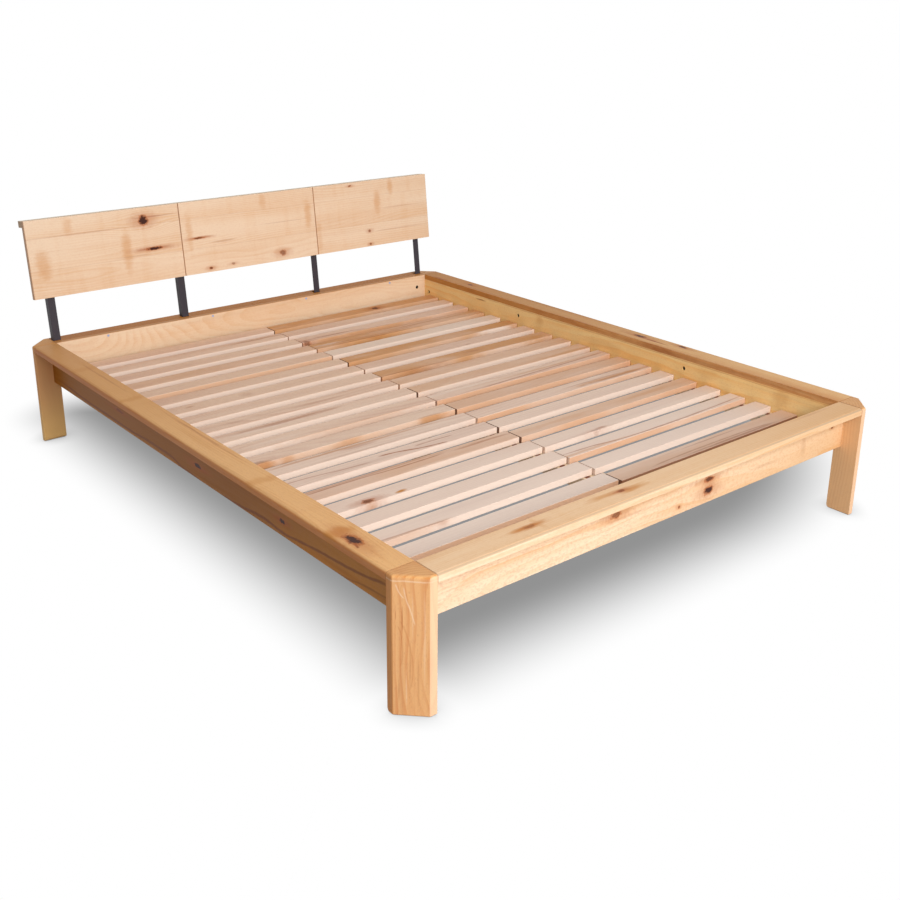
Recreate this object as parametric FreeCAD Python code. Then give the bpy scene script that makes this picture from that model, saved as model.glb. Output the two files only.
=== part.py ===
import FreeCAD, Part
import math
import os

# A double bed: a low frame of boards and flat caps on four cornered legs, two lift-out slat
# mats, and a leaning headboard of three panels on four steel posts.
# Sizes are in millimetres. X runs to the sleeper's right, Y towards the head, Z up from the floor.

V = FreeCAD.Vector

# Space between the rails
inner_width = 1600.0
inner_length = 2000.0
rail_top = 345.0

# Caps and boards of the rails
cap_width = 78.0
cap_thick = 20.0
cap_roll = 8.0
joint_ease = 1.5
board_thick = 22.0
board_height = 118.0
head_board_thick = 20.0
edge_ease = 1.0

# Legs
leg_flat = 19.0
leg_bevel_depth = 0.6
inner_foot_round = 12.0
outer_foot_round = 4.0

# Studs, barrel nuts and dowels that pull the frame together
stud_radius = 4.0
stud_in_leg = 35.0
stud_past_nut = 10.0
stud_in_cap = 12.0
nut_radius = 7.0
nut_length = 12.0
side_nut_drop = 70.0
end_nut_drop = 49.0
side_nut_inset = 28.0
end_nut_inset = 41.0
side_dowel_drop = 92.0
end_dowel_drop = 116.0
dowel_radius = 4.0
dowel_half = 20.0
cap_nut_drop = 50.0
side_cap_nut_spacing = 824.0
foot_cap_nut_spacing = 660.0
snug = 0.1

# Wood screws
screw_radius = 2.0
screw_head_radius = 4.2
screw_head_height = 2.4
cap_screw_radius = 2.5
cap_screw_length = 60.0
cap_screw_spacing = 410.0
cap_screw_drop = 8.0
cap_screw_count = 4

# Slat mats
slat_count = 20
slat_width = 60.0
slat_thick = 19.5
slat_drop = 82.0
slat_end_gap = 3.0
mat_gap = 4.0
head_margin = 34.0
foot_margin = 44.0
right_mat_spread = 0.5
slats_per_node = 2
tape_width = 15.0
tape_thick = 1.5
tape_inset = 18.0
tape_overlap = 40.0

# Ledges, centre beam and centre leg under the mats
ledge_width = 30.0
ledge_height = 35.0
ledge_end_gap = 4.0
ledge_screw_count = 4
ledge_screw_bite = 15.0
beam_width = 76.0
beam_height = 35.0
hanger_plate = 2.0
hanger_reach = 40.0
hanger_ear = 20.0
hanger_screw_length = 14.0
centre_leg_width = 45.0

# Headboard
lean = 6.5
panel_height = 264.0
panel_thick = 18.0
panel_rise = 150.0
middle_panel_width = 576.0
panel_gap = 1.5
panel_ease = 1.5
headboard_overhang = 47.0
batten_height = 22.0
batten_depth = 30.0
batten_screw_length = 42.0
batten_screws_per_panel = 2

# Steel posts of angle section
post_width = 25.0
post_leaf = 3.0
post_setback = 9.0
post_leg_gap = 2.0
post_slot_gap = 1.0
plate_thick = 4.0
plate_width = 60.0
plate_height = 78.0
plate_foot_gap = 8.0
plate_screw_count = 2
plate_screw_length = 17.0
panel_screw_length = 15.0
panel_screw_shares = (0.15, 0.65)

# One overrun for every cut, and a distance that counts as no distance
over = 5.0
tiny = 0.01

# Places worked out from the sizes
half_width = inner_width / 2
half_length = inner_length / 2
cap_bottom = rail_top - cap_thick
board_bottom = cap_bottom - board_height
slat_top = rail_top - slat_drop
slat_bottom = slat_top - slat_thick
rest_level = slat_bottom - tape_thick
slat_length = half_width - slat_end_gap - mat_gap / 2
slat_pitch = (inner_length - head_margin - foot_margin - slat_width) / (slat_count - 1)
lean_sin = math.sin(math.radians(lean))
lean_cos = math.cos(math.radians(lean))
lean_axis = V(0, lean_sin, lean_cos)
back_axis = V(0, lean_cos, -lean_sin)
panel_bottom = rail_top + panel_rise
post_face = half_length + head_board_thick + post_setback
panel_back_at_foot = post_face + panel_rise * lean_sin / lean_cos
headboard_half = half_width + headboard_overhang


def lean_point(x, up, back):
    """A point measured up the lean from the panels' lower edge and back from their rear face."""
    return V(x, panel_back_at_foot, panel_bottom) + lean_axis * up + back_axis * back


# The origin is on the floor, half way along the whole bed.
rear = lean_point(0, panel_height, batten_depth).y
front = -half_length - cap_width
origin_shift = V(0, -(rear + front) / 2, 0)


def box(x0, x1, y0, y1, z0, z1):
    """A square-edged block between two corners."""
    return Part.makeBox(x1 - x0, y1 - y0, z1 - z0, V(x0, y0, z0))


def rod(start, axis, length, radius):
    """A round rod from a point along an axis."""
    return Part.makeCylinder(radius, length, start, axis)


def prism(points, along):
    """A solid with the outline of the points, drawn out along a vector."""
    outline = Part.makePolygon(points + [points[0]])
    return Part.Face(outline).extrude(along)


def lean_block(x0, x1, up0, up1, back0, back1):
    """A block that leans with the headboard."""
    corners = [(up0, back0), (up1, back0), (up1, back1), (up0, back1)]
    points = [lean_point(x0, up, back) for up, back in corners]
    return prism(points, V(x1 - x0, 0, 0))


def wood_screw(face_point, into, length, radius):
    """A screw with its head standing on a face and its shank driven into the wood."""
    head = Part.makeCone(screw_head_radius, radius, screw_head_height, face_point, -into)
    return head.fuse(rod(face_point, into, length, radius))


def drill(shape, holes):
    """The shape with a list of rods taken out."""
    return shape.cut(Part.makeCompound(holes))


def mirror_to(shape, side, end):
    """Mirror a piece made for the right head corner into the corner that is asked for."""
    if side < 0:
        shape = shape.mirror(V(0, 0, 0), V(1, 0, 0))
    if end < 0:
        shape = shape.mirror(V(0, 0, 0), V(0, 1, 0))
    return shape


def save(name, pieces):
    """Write one named sub-part, a single solid or a group of separate solids."""
    if isinstance(pieces, list):
        shape = Part.makeCompound(pieces)
    else:
        shape = pieces
    shape = shape.copy()
    shape.translate(origin_shift)
    if not shape.isValid():
        raise ValueError(name + " is not a valid solid")
    shape.exportStep("parts/" + name + ".step")


def end_thickness(end):
    """Thickness of the board across the head or the foot."""
    return head_board_thick if end > 0 else board_thick


def edges_along_y(shape, x, z):
    """The edges that run along Y at one place in X and Z."""
    found = []
    for edge in shape.Edges:
        points = [vertex.Point for vertex in edge.Vertexes]
        if all(abs(p.x - x) < tiny and abs(p.z - z) < tiny for p in points):
            found.append(edge)
    return found


def ease_long_edges(board, z):
    """The board with its long edges at one height eased."""
    long_edges = [edge for edge in board.Edges
                  if edge.Length > 2 * board_height and all(abs(v.Point.z - z) < tiny for v in edge.Vertexes)]
    return board.makeChamfer(edge_ease, long_edges)


# Corner joints: a stud, its barrel nut and a dowel at each end of each board

def side_stud(grow):
    """Stud from the right leg at the head into the side board, thicker by grow for its hole."""
    start = V(half_width + board_thick / 2, half_length + stud_in_leg, rail_top - side_nut_drop)
    length = stud_in_leg + side_nut_inset + stud_past_nut
    return rod(start, V(0, -1, 0), length, stud_radius + grow)


def end_stud(end, grow):
    """Stud from the right leg into the board across the head or the foot."""
    start = V(half_width + stud_in_leg, half_length + end_thickness(end) / 2, rail_top - end_nut_drop)
    length = stud_in_leg + end_nut_inset + stud_past_nut
    return rod(start, V(-1, 0, 0), length, stud_radius + grow)


def side_dowel(grow):
    """Dowel between the side board and the leg, lengthened and thickened by grow for its hole."""
    start = V(half_width + board_thick / 2, half_length - dowel_half - grow, rail_top - side_dowel_drop)
    return rod(start, V(0, 1, 0), 2 * (dowel_half + grow), dowel_radius + grow)


def end_dowel(end, grow):
    """Dowel between the board across the bed and the leg."""
    start = V(half_width - dowel_half - grow, half_length + end_thickness(end) / 2, rail_top - end_dowel_drop)
    return rod(start, V(1, 0, 0), 2 * (dowel_half + grow), dowel_radius + grow)


def nut_hole(face_point, into, thick):
    """Blind hole for a barrel nut, bored from the face of a board."""
    depth = (thick + nut_length) / 2
    return rod(face_point, into, depth, nut_radius)


def barrel_nut(face_point, into, thick, stud_axis):
    """Barrel nut at the bottom of its hole, cross-bored for its stud."""
    seat = face_point + into * ((thick - nut_length) / 2)
    nut = rod(seat, into, nut_length, nut_radius - snug)
    middle = seat + into * (nut_length / 2) - stud_axis * (nut_radius + over)
    return nut.cut(rod(middle, stud_axis, 2 * (nut_radius + over), stud_radius + snug))


def side_nut_point():
    """Middle of the side board's nut hole near the head, on the board's inner face."""
    return V(half_width, half_length - side_nut_inset, rail_top - side_nut_drop)


def end_nut_point():
    """Middle of the end board's nut hole near its right end, on the board's inner face."""
    return V(half_width - end_nut_inset, half_length, rail_top - end_nut_drop)


# Frame

def leg_slab(angle, back, reach, back_round):
    """A slab behind one outer face of a leg: top edge rolled, foot rounded, joint edge eased."""
    slab = box(back, reach, -2 * cap_width, 2 * cap_width, 0, rail_top)
    slab = slab.makeFillet(cap_roll, edges_along_y(slab, reach, rail_top))
    slab = slab.makeFillet(outer_foot_round, edges_along_y(slab, reach, 0))
    slab = slab.makeFillet(back_round, edges_along_y(slab, back, 0))
    slab = slab.makeChamfer(joint_ease, edges_along_y(slab, back, rail_top))
    slab.rotate(V(0, 0, 0), V(0, 0, 1), angle)
    slab.translate(V(half_width, half_length, 0))
    return slab


def leg(end):
    """Corner leg: the stretch that slabs behind its side, its end, its wide flat and two bevels share."""
    flat_reach = (cap_width + leg_flat) * math.sin(math.radians(45))
    bevel = math.radians(45 / 2)
    bevel_reach = cap_width * math.cos(bevel) + leg_flat * math.sin(bevel) - leg_bevel_depth
    post = leg_slab(0, 0, cap_width, outer_foot_round)
    post = post.common(leg_slab(90, 0, cap_width, inner_foot_round))
    post = post.common(leg_slab(45, -cap_width, flat_reach, outer_foot_round))
    post = post.common(leg_slab(45 / 2, -cap_width, bevel_reach, outer_foot_round))
    post = post.common(leg_slab(90 - 45 / 2, -cap_width, bevel_reach, outer_foot_round))
    holes = [side_stud(snug), end_stud(end, snug), side_dowel(snug), end_dowel(end, snug)]
    return drill(post, holes)


def cap_profile(x_inner, x_outer):
    """Cross-section of a cap that runs along Y, its outer top edge rolled over."""
    out = 1 if x_outer > x_inner else -1
    roll = cap_roll * math.sin(math.radians(45))
    a = V(x_inner, 0, cap_bottom)
    b = V(x_outer, 0, cap_bottom)
    c = V(x_outer, 0, rail_top - cap_roll)
    roll_middle = V(x_outer - out * (cap_roll - roll), 0, rail_top - cap_roll + roll)
    d = V(x_outer - out * cap_roll, 0, rail_top)
    e = V(x_inner + out * edge_ease, 0, rail_top)
    f = V(x_inner, 0, rail_top - edge_ease)
    edges = [Part.makeLine(a, b), Part.makeLine(b, c), Part.Arc(c, roll_middle, d).toShape(),
             Part.makeLine(d, e), Part.makeLine(e, f), Part.makeLine(f, a)]
    return Part.Face(Part.Wire(edges))


def cap(x_inner, x_outer, length):
    """A cap along Y, centred, with the edges of its two ends eased for the corner joints."""
    bar = cap_profile(x_inner, x_outer).extrude(V(0, length, 0))
    bar.translate(V(0, -length / 2, 0))
    ends = []
    for edge in bar.Edges:
        middle = edge.CenterOfMass
        if abs(middle.y) > length / 2 - edge_ease and middle.z > cap_bottom + edge_ease:
            ends.append(edge)
    return bar.makeChamfer(joint_ease, ends)


def side_cap(side):
    """Cap on a side board, from leg to leg."""
    shape = mirror_to(cap(half_width, half_width + cap_width, inner_length), side, 1)
    return drill(shape, [mirror_to(stud, side, 1) for stud in side_cap_studs(snug)])


def turned_to_end(shape, inner_edge, end):
    """A cap made along Y with its inner edge at X zero, turned across the bed at the head or foot."""
    turned = shape.copy()
    turned.rotate(V(0, 0, 0), V(0, 0, 1), 90)
    turned.translate(V(0, inner_edge, 0))
    return mirror_to(turned, 1, end)


def foot_cap():
    """Cap across the foot, from leg to leg."""
    shape = turned_to_end(cap(0, cap_width, inner_width), half_length, -1)
    return drill(shape, foot_cap_studs(snug))


def head_cap():
    """Narrower cap behind the head board, notched through for the four posts."""
    inner_edge = half_length + head_board_thick
    shape = turned_to_end(cap(0, cap_width - head_board_thick, inner_width), inner_edge, 1)
    slots = [post_slot(x, side) for x, side in post_places()]
    shanks = [rod(point, V(0, 1, 0), cap_screw_length + snug, cap_screw_radius + snug)
              for point in cap_screw_points()]
    return drill(shape, slots + shanks)


def side_cap_studs(grow):
    """Two upright studs that pull a side cap down onto its board."""
    foot = rail_top - cap_nut_drop - stud_past_nut
    height = cap_nut_drop + stud_past_nut - (cap_thick - stud_in_cap)
    places = (-side_cap_nut_spacing / 2, side_cap_nut_spacing / 2)
    x = half_width + board_thick / 2
    return [rod(V(x, y, foot), V(0, 0, 1), height, stud_radius + grow) for y in places]


def foot_cap_studs(grow):
    """Two upright studs that pull the foot cap down onto its board."""
    foot = rail_top - cap_nut_drop - stud_past_nut
    height = cap_nut_drop + stud_past_nut - (cap_thick - stud_in_cap)
    places = (-foot_cap_nut_spacing / 2, foot_cap_nut_spacing / 2)
    y = -half_length - board_thick / 2
    return [rod(V(x, y, foot), V(0, 0, 1), height, stud_radius + grow) for x in places]


def side_board(side):
    """Board under the inner edge of a side cap, drilled for its studs, nuts, dowels and screws."""
    board = box(half_width, half_width + board_thick, -half_length, half_length, board_bottom, cap_bottom)
    board = ease_long_edges(board, board_bottom)
    into = V(1, 0, 0)
    holes = list(side_cap_studs(snug))
    for end in (-1, 1):
        holes.append(mirror_to(nut_hole(side_nut_point(), into, board_thick), 1, end))
        holes.append(mirror_to(side_stud(snug), 1, end))
        holes.append(mirror_to(side_dowel(snug), 1, end))
    for y in (-side_cap_nut_spacing / 2, side_cap_nut_spacing / 2):
        holes.append(nut_hole(V(half_width, y, rail_top - cap_nut_drop), into, board_thick))
    holes += [ledge_screw_shank(y, snug) for y in ledge_screw_places()]
    return mirror_to(drill(board, holes), side, 1)


def end_board_holes(end):
    """Holes at both ends of the board across the head or the foot."""
    into = V(0, 1, 0)
    thick = end_thickness(end)
    holes = []
    for side in (-1, 1):
        holes.append(mirror_to(nut_hole(end_nut_point(), into, thick), side, end))
        holes.append(mirror_to(end_stud(end, snug), side, end))
        holes.append(mirror_to(end_dowel(end, snug), side, end))
    return holes + [hanger_screw_shank(side, end, snug) for side in (-1, 1)]


def foot_board():
    """Board under the inner edge of the foot cap."""
    board = box(-half_width, half_width, -half_length - board_thick, -half_length, board_bottom, cap_bottom)
    board = ease_long_edges(board, board_bottom)
    holes = end_board_holes(-1) + foot_cap_studs(snug)
    for x in (-foot_cap_nut_spacing / 2, foot_cap_nut_spacing / 2):
        holes.append(nut_hole(V(x, -half_length, rail_top - cap_nut_drop), V(0, -1, 0), board_thick))
    return drill(board, holes)


def head_board():
    """Full-height board that faces the mattress at the head."""
    y0, y1 = half_length, half_length + head_board_thick
    board = box(-half_width, half_width, y0, y1, board_bottom, rail_top)
    board = ease_long_edges(ease_long_edges(board, board_bottom), rail_top)
    holes = end_board_holes(1)
    holes += [rod(point, V(0, 1, 0), head_board_thick + over, cap_screw_radius + snug)
              for point in cap_screw_points()]
    holes += [cap_screw_head(point, snug) for point in cap_screw_points()]
    holes += [plate_screw_shank(x, side, z, snug) for x, side in post_places() for z in plate_screw_heights()]
    return drill(board, holes)


def corner_studs():
    """The eight studs that pull the boards onto the legs."""
    studs = []
    for side in (-1, 1):
        for end in (-1, 1):
            studs.append(mirror_to(side_stud(0), side, end))
            studs.append(mirror_to(end_stud(end, 0), side, end))
    return studs


def barrel_nuts():
    """The eight barrel nuts of the corner joints and the six that hold the caps."""
    nuts = []
    side_nut = barrel_nut(side_nut_point(), V(1, 0, 0), board_thick, V(0, 1, 0))
    for side in (-1, 1):
        for end in (-1, 1):
            end_nut = barrel_nut(end_nut_point(), V(0, 1, 0), end_thickness(end), V(1, 0, 0))
            nuts.append(mirror_to(side_nut, side, end))
            nuts.append(mirror_to(end_nut, side, end))
    up = V(0, 0, 1)
    for end in (-1, 1):
        side_place = V(half_width, end * side_cap_nut_spacing / 2, rail_top - cap_nut_drop)
        foot_place = V(end * foot_cap_nut_spacing / 2, -half_length, rail_top - cap_nut_drop)
        side_cap_nut = barrel_nut(side_place, V(1, 0, 0), board_thick, up)
        nuts += [mirror_to(side_cap_nut, side, 1) for side in (-1, 1)]
        nuts.append(barrel_nut(foot_place, V(0, -1, 0), board_thick, up))
    return nuts


def cap_studs():
    """The six upright studs of the side and foot caps."""
    right = side_cap_studs(0)
    return right + [mirror_to(stud, -1, 1) for stud in right] + foot_cap_studs(0)


def dowels():
    """One dowel at each board end and one on top of the centre leg."""
    pins = [centre_dowel(0)]
    for side in (-1, 1):
        for end in (-1, 1):
            pins.append(mirror_to(side_dowel(0), side, end))
            pins.append(mirror_to(end_dowel(end, 0), side, end))
    return pins


def cap_screw_points():
    """Where the screws enter the head board to hold the head cap."""
    first = -cap_screw_spacing * (cap_screw_count - 1) / 2
    z = rail_top - cap_screw_drop
    return [V(first + i * cap_screw_spacing, half_length, z) for i in range(cap_screw_count)]


def cap_screw_head(point, grow):
    """Countersunk head, flush with the face of the head board."""
    wide = screw_head_radius + grow
    return Part.makeCone(wide, cap_screw_radius + grow, screw_head_height, point, V(0, 1, 0))


def cap_screws():
    """The zinc screws that hold the head cap to the head board."""
    return [cap_screw_head(point, 0).fuse(rod(point, V(0, 1, 0), cap_screw_length, cap_screw_radius))
            for point in cap_screw_points()]


# Ledges, beam and centre leg

def ledge_screw_places():
    """Places along Y of the screws in a ledge."""
    step = inner_length / ledge_screw_count
    return [(i + 1 / 2) * step - half_length for i in range(ledge_screw_count)]


def ledge_screw_shank(y, grow):
    """Shank of a ledge screw, from the ledge's inner face into the side board."""
    start = V(half_width - ledge_width, y, rest_level - ledge_height / 2)
    return rod(start, V(1, 0, 0), ledge_width + ledge_screw_bite + grow, screw_radius + grow)


def ledge(side):
    """Strip inside a side board that carries the outer ends of the slats."""
    end = half_length - ledge_end_gap
    strip = box(half_width - ledge_width, half_width, -end, end, rest_level - ledge_height, rest_level)
    return mirror_to(drill(strip, [ledge_screw_shank(y, snug) for y in ledge_screw_places()]), side, 1)


def ledge_screws():
    """The screws of both ledges."""
    length = ledge_width + ledge_screw_bite
    screws = []
    for y in ledge_screw_places():
        start = V(half_width - ledge_width, y, rest_level - ledge_height / 2)
        screw = wood_screw(start, V(1, 0, 0), length, screw_radius)
        screws += [mirror_to(screw, side, 1) for side in (-1, 1)]
    return screws


def centre_dowel(grow):
    """Dowel that pins the centre leg under the beam."""
    start = V(0, 0, rest_level - beam_height - dowel_half - grow)
    return rod(start, V(0, 0, 1), 2 * (dowel_half + grow), dowel_radius + grow)


def centre_beam():
    """Beam from foot to head under the inner ends of both mats."""
    end = half_length - hanger_plate
    beam = box(-beam_width / 2, beam_width / 2, -end, end, rest_level - beam_height, rest_level)
    return drill(beam, [centre_dowel(snug)])


def centre_leg():
    """Square leg under the middle of the beam."""
    half = centre_leg_width / 2
    return drill(box(-half, half, -half, half, 0, rest_level - beam_height), [centre_dowel(snug)])


def hanger_screw_point(side, end):
    """Where a hanger's screw stands on the hanger's ear."""
    x = side * (beam_width / 2 + hanger_plate + hanger_ear / 2)
    return V(x, end * (half_length - hanger_plate), rest_level - beam_height / 2)


def hanger_screw_shank(side, end, grow):
    """Shank of a hanger screw in the board behind it."""
    length = hanger_screw_length + grow
    return rod(hanger_screw_point(side, end), V(0, end, 0), length, screw_radius + grow)


def beam_hanger(end):
    """Folded steel shoe that carries one end of the beam."""
    low = rest_level - beam_height
    high = rest_level - hanger_plate
    half = beam_width / 2
    y0, y1 = half_length - hanger_reach, half_length
    shoe = box(-half - hanger_plate, half + hanger_plate, y0, y1, low - hanger_plate, low)
    back = box(-half - hanger_plate - hanger_ear, half + hanger_plate + hanger_ear,
               half_length - hanger_plate, y1, low - hanger_plate, high)
    shoe = shoe.fuse(back)
    for side in (-1, 1):
        x0 = side * half
        x1 = side * (half + hanger_plate)
        shoe = shoe.fuse(box(min(x0, x1), max(x0, x1), y0, y1, low - hanger_plate, high))
    shoe = mirror_to(shoe.removeSplitter(), 1, end)
    return drill(shoe, [hanger_screw_shank(side, end, snug) for side in (-1, 1)])


def hanger_screws():
    """The screws that hold the hangers to the boards."""
    return [wood_screw(hanger_screw_point(side, end), V(0, end, 0), hanger_screw_length, screw_radius)
            for side in (-1, 1) for end in (-1, 1)]


# Slat mats

def slat_edges(side, index):
    """Front and back edge of one slat, counted from the head; the right mat lies a little spread."""
    spread = right_mat_spread if side > 0 else 0
    y1 = half_length - head_margin - index * (slat_pitch + spread)
    return y1 - slat_width, y1


def slat(side, index):
    """One slat with eased long edges."""
    y0, y1 = slat_edges(side, index)
    e = edge_ease
    outline = [(y0 + e, slat_bottom), (y1 - e, slat_bottom), (y1, slat_bottom + e), (y1, slat_top - e),
               (y1 - e, slat_top), (y0 + e, slat_top), (y0, slat_top - e), (y0, slat_bottom + e)]
    bar = prism([V(mat_gap / 2, y, z) for y, z in outline], V(slat_length, 0, 0))
    return mirror_to(bar, side, 1)


def tape(side, inset):
    """Tape under one end of the slats, at a distance from the bed's centre line."""
    y1 = slat_edges(side, 0)[0] + tape_overlap
    y0 = slat_edges(side, slat_count - 1)[1] - tape_overlap
    strip = box(inset - tape_width / 2, inset + tape_width / 2, y0, y1, rest_level, slat_bottom)
    return mirror_to(strip, side, 1)


def save_mat(name, side):
    """Write the slats and tapes of one mat."""
    for first in range(0, slat_count, slats_per_node):
        last = min(first + slats_per_node, slat_count)
        slats = [slat(side, index) for index in range(first, last)]
        save("%s_slats_%02d_%02d" % (name, first + 1, last), slats)
    save(name + "_inner_tape", tape(side, mat_gap / 2 + tape_inset))
    save(name + "_outer_tape", tape(side, mat_gap / 2 + slat_length - tape_inset))


# Headboard

def panel_spans():
    """Left and right edges of the three panels."""
    inside = middle_panel_width / 2 - panel_gap / 2
    outside = middle_panel_width / 2 + panel_gap / 2
    return {"left": (-headboard_half, -outside), "middle": (-inside, inside),
            "right": (outside, headboard_half)}


def post_places():
    """Outer edge of each post and the side that its side leaf is on."""
    outer = half_width - post_leg_gap
    joint = middle_panel_width / 2
    return [(-outer, -1), (-joint - post_width, -1), (joint, 1), (outer, 1)]


def post_span(x, side, reach):
    """A stretch across the bed that starts at a post's side leaf and runs to its free edge."""
    return (min(x, x - side * reach), max(x, x - side * reach))


def post_foot():
    """How far down the lean the posts reach before they are cut level with their plates."""
    return -(panel_rise + cap_thick + board_height) / lean_cos


def post_slot(x, side):
    """Leaning mortise through the head cap for one post."""
    x0, x1 = post_span(x, side, post_width)
    gap = post_slot_gap
    low = -(panel_rise + cap_thick + over) / lean_cos
    high = -(panel_rise - over) / lean_cos
    return lean_block(x0 - gap, x1 + gap, low, high, -gap, post_width + gap)


def plate_screw_heights():
    """Heights of the screws in a post's plate."""
    low = board_bottom + plate_foot_gap
    step = plate_height / plate_screw_count
    return [low + (i + 1 / 2) * step for i in range(plate_screw_count)]


def plate_screw_point(x, side, z):
    """Where a screw stands on the back of a post's plate, beside the post."""
    across = (post_width + plate_width) / 2
    return V(x - side * across, half_length + head_board_thick + plate_thick, z)


def plate_screw_shank(x, side, z, grow):
    """Shank of a plate screw in the head board."""
    return rod(plate_screw_point(x, side, z), V(0, -1, 0), plate_screw_length + grow, screw_radius + grow)


def panel_screw_ups():
    """Distances up the panels of the screws that hold them to a post."""
    return [share * panel_height for share in panel_screw_shares]


def panel_screw_shank(x, side, up, grow):
    """Shank of a screw through a post's front leaf into the panel."""
    start = lean_point(x - side * post_width / 2, up, post_leaf)
    return rod(start, -back_axis, panel_screw_length + grow, screw_radius + grow)


def post(x, side):
    """Steel angle post welded to a flat plate that is screwed behind the head board."""
    x0, x1 = post_span(x, side, post_width)
    leaf0, leaf1 = post_span(x, side, post_leaf)
    low, high = post_foot(), panel_height - batten_height
    front_leaf = lean_block(x0, x1, low, high, 0, post_leaf)
    side_leaf = lean_block(leaf0, leaf1, low, high, 0, post_width)
    board_back = half_length + head_board_thick
    plate0, plate1 = post_span(x, side, plate_width)
    foot = board_bottom + plate_foot_gap
    plate = box(plate0, plate1, board_back, board_back + plate_thick, foot, foot + plate_height)
    board_space = box(x0 - over, x1 + over, half_length - cap_width, board_back, 0, cap_bottom)
    below = box(x0 - over, x1 + over, half_length, half_length + 2 * cap_width, 0, foot)
    angle = front_leaf.fuse(side_leaf).cut(board_space).cut(below)
    shape = angle.fuse(plate).removeSplitter()
    holes = [plate_screw_shank(x, side, z, snug) for z in plate_screw_heights()]
    holes += [panel_screw_shank(x, side, up, snug) for up in panel_screw_ups()]
    return drill(shape, holes)


def panel(x0, x1):
    """One headboard panel with its two front upright edges eased."""
    e = panel_ease
    t = panel_thick
    outline = [(x0, 0), (x0, e - t), (x0 + e, -t), (x1 - e, -t), (x1, e - t), (x1, 0)]
    board = prism([lean_point(x, 0, back) for x, back in outline], lean_axis * panel_height)
    holes = [panel_screw_shank(x, side, up, snug) for x, side in post_places() for up in panel_screw_ups()]
    holes += [batten_screw_shank(x, snug) for x in batten_screw_places()]
    return drill(board, holes)


def batten_screw_places():
    """Places across the bed of the batten's screws."""
    places = []
    for x0, x1 in panel_spans().values():
        step = (x1 - x0) / batten_screws_per_panel
        places += [x0 + (i + 1 / 2) * step for i in range(batten_screws_per_panel)]
    return places


def batten_screw_shank(x, grow):
    """Shank of a screw through the batten into a panel."""
    start = lean_point(x, panel_height - batten_height / 2, batten_depth)
    return rod(start, -back_axis, batten_screw_length + grow, screw_radius + grow)


def batten():
    """Batten behind the top edge that ties the three panels together."""
    low = panel_height - batten_height
    bar = lean_block(-headboard_half, headboard_half, low, panel_height, 0, batten_depth)
    heads = [batten_screw_sink(x) for x in batten_screw_places()]
    return drill(bar, [batten_screw_shank(x, snug) for x in batten_screw_places()] + heads)


def batten_screw_sink(x):
    """Countersink for a batten screw's head."""
    start = lean_point(x, panel_height - batten_height / 2, batten_depth)
    return Part.makeCone(screw_head_radius + snug, screw_radius + snug, screw_head_height, start, -back_axis)


def batten_screws():
    """Countersunk screws through the batten into the panels."""
    screws = []
    for x in batten_screw_places():
        start = lean_point(x, panel_height - batten_height / 2, batten_depth)
        head = Part.makeCone(screw_head_radius, screw_radius, screw_head_height, start, -back_axis)
        screws.append(head.fuse(batten_screw_shank(x, 0)))
    return screws


def post_screws():
    """Screws that hold the posts' plates to the head board."""
    return [wood_screw(plate_screw_point(x, side, z), V(0, -1, 0), plate_screw_length, screw_radius)
            for x, side in post_places() for z in plate_screw_heights()]


def panel_screws():
    """Screws through the posts into the backs of the panels."""
    return [wood_screw(lean_point(x - side * post_width / 2, up, post_leaf), -back_axis,
                       panel_screw_length, screw_radius)
            for x, side in post_places() for up in panel_screw_ups()]


def main():
    """Build every sub-part and write it out."""
    os.makedirs("parts", exist_ok=True)
    for end, end_name in ((-1, "front"), (1, "back")):
        corner = leg(end)
        for side, side_name in ((-1, "left"), (1, "right")):
            save("leg_%s_%s" % (end_name, side_name), mirror_to(corner, side, end))
    for side, name in ((-1, "left"), (1, "right")):
        save(name + "_side_cap", side_cap(side))
        save(name + "_side_board", side_board(side))
        save(name + "_slat_ledge", ledge(side))
        save_mat(name + "_mat", side)
    save("foot_cap", foot_cap())
    save("foot_board", foot_board())
    save("head_cap", head_cap())
    save("head_board", head_board())
    save("corner_studs", corner_studs())
    save("barrel_nuts", barrel_nuts())
    save("cap_studs", cap_studs())
    save("dowels", dowels())
    save("cap_screws", cap_screws())
    save("ledge_screws", ledge_screws())
    save("centre_beam", centre_beam())
    save("centre_leg", centre_leg())
    save("beam_hangers", [beam_hanger(end) for end in (-1, 1)])
    save("hanger_screws", hanger_screws())
    for name, (x0, x1) in panel_spans().items():
        save("headboard_panel_" + name, panel(x0, x1))
    names = ("outer_left", "inner_left", "inner_right", "outer_right")
    for name, (x, side) in zip(names, post_places()):
        save("headboard_post_" + name, post(x, side))
    save("headboard_batten", batten())
    save("batten_screws", batten_screws())
    save("post_screws", post_screws())
    save("panel_screws", panel_screws())


main()
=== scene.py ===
import math

import bmesh
import bpy
from mathutils import Matrix, Vector


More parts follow.
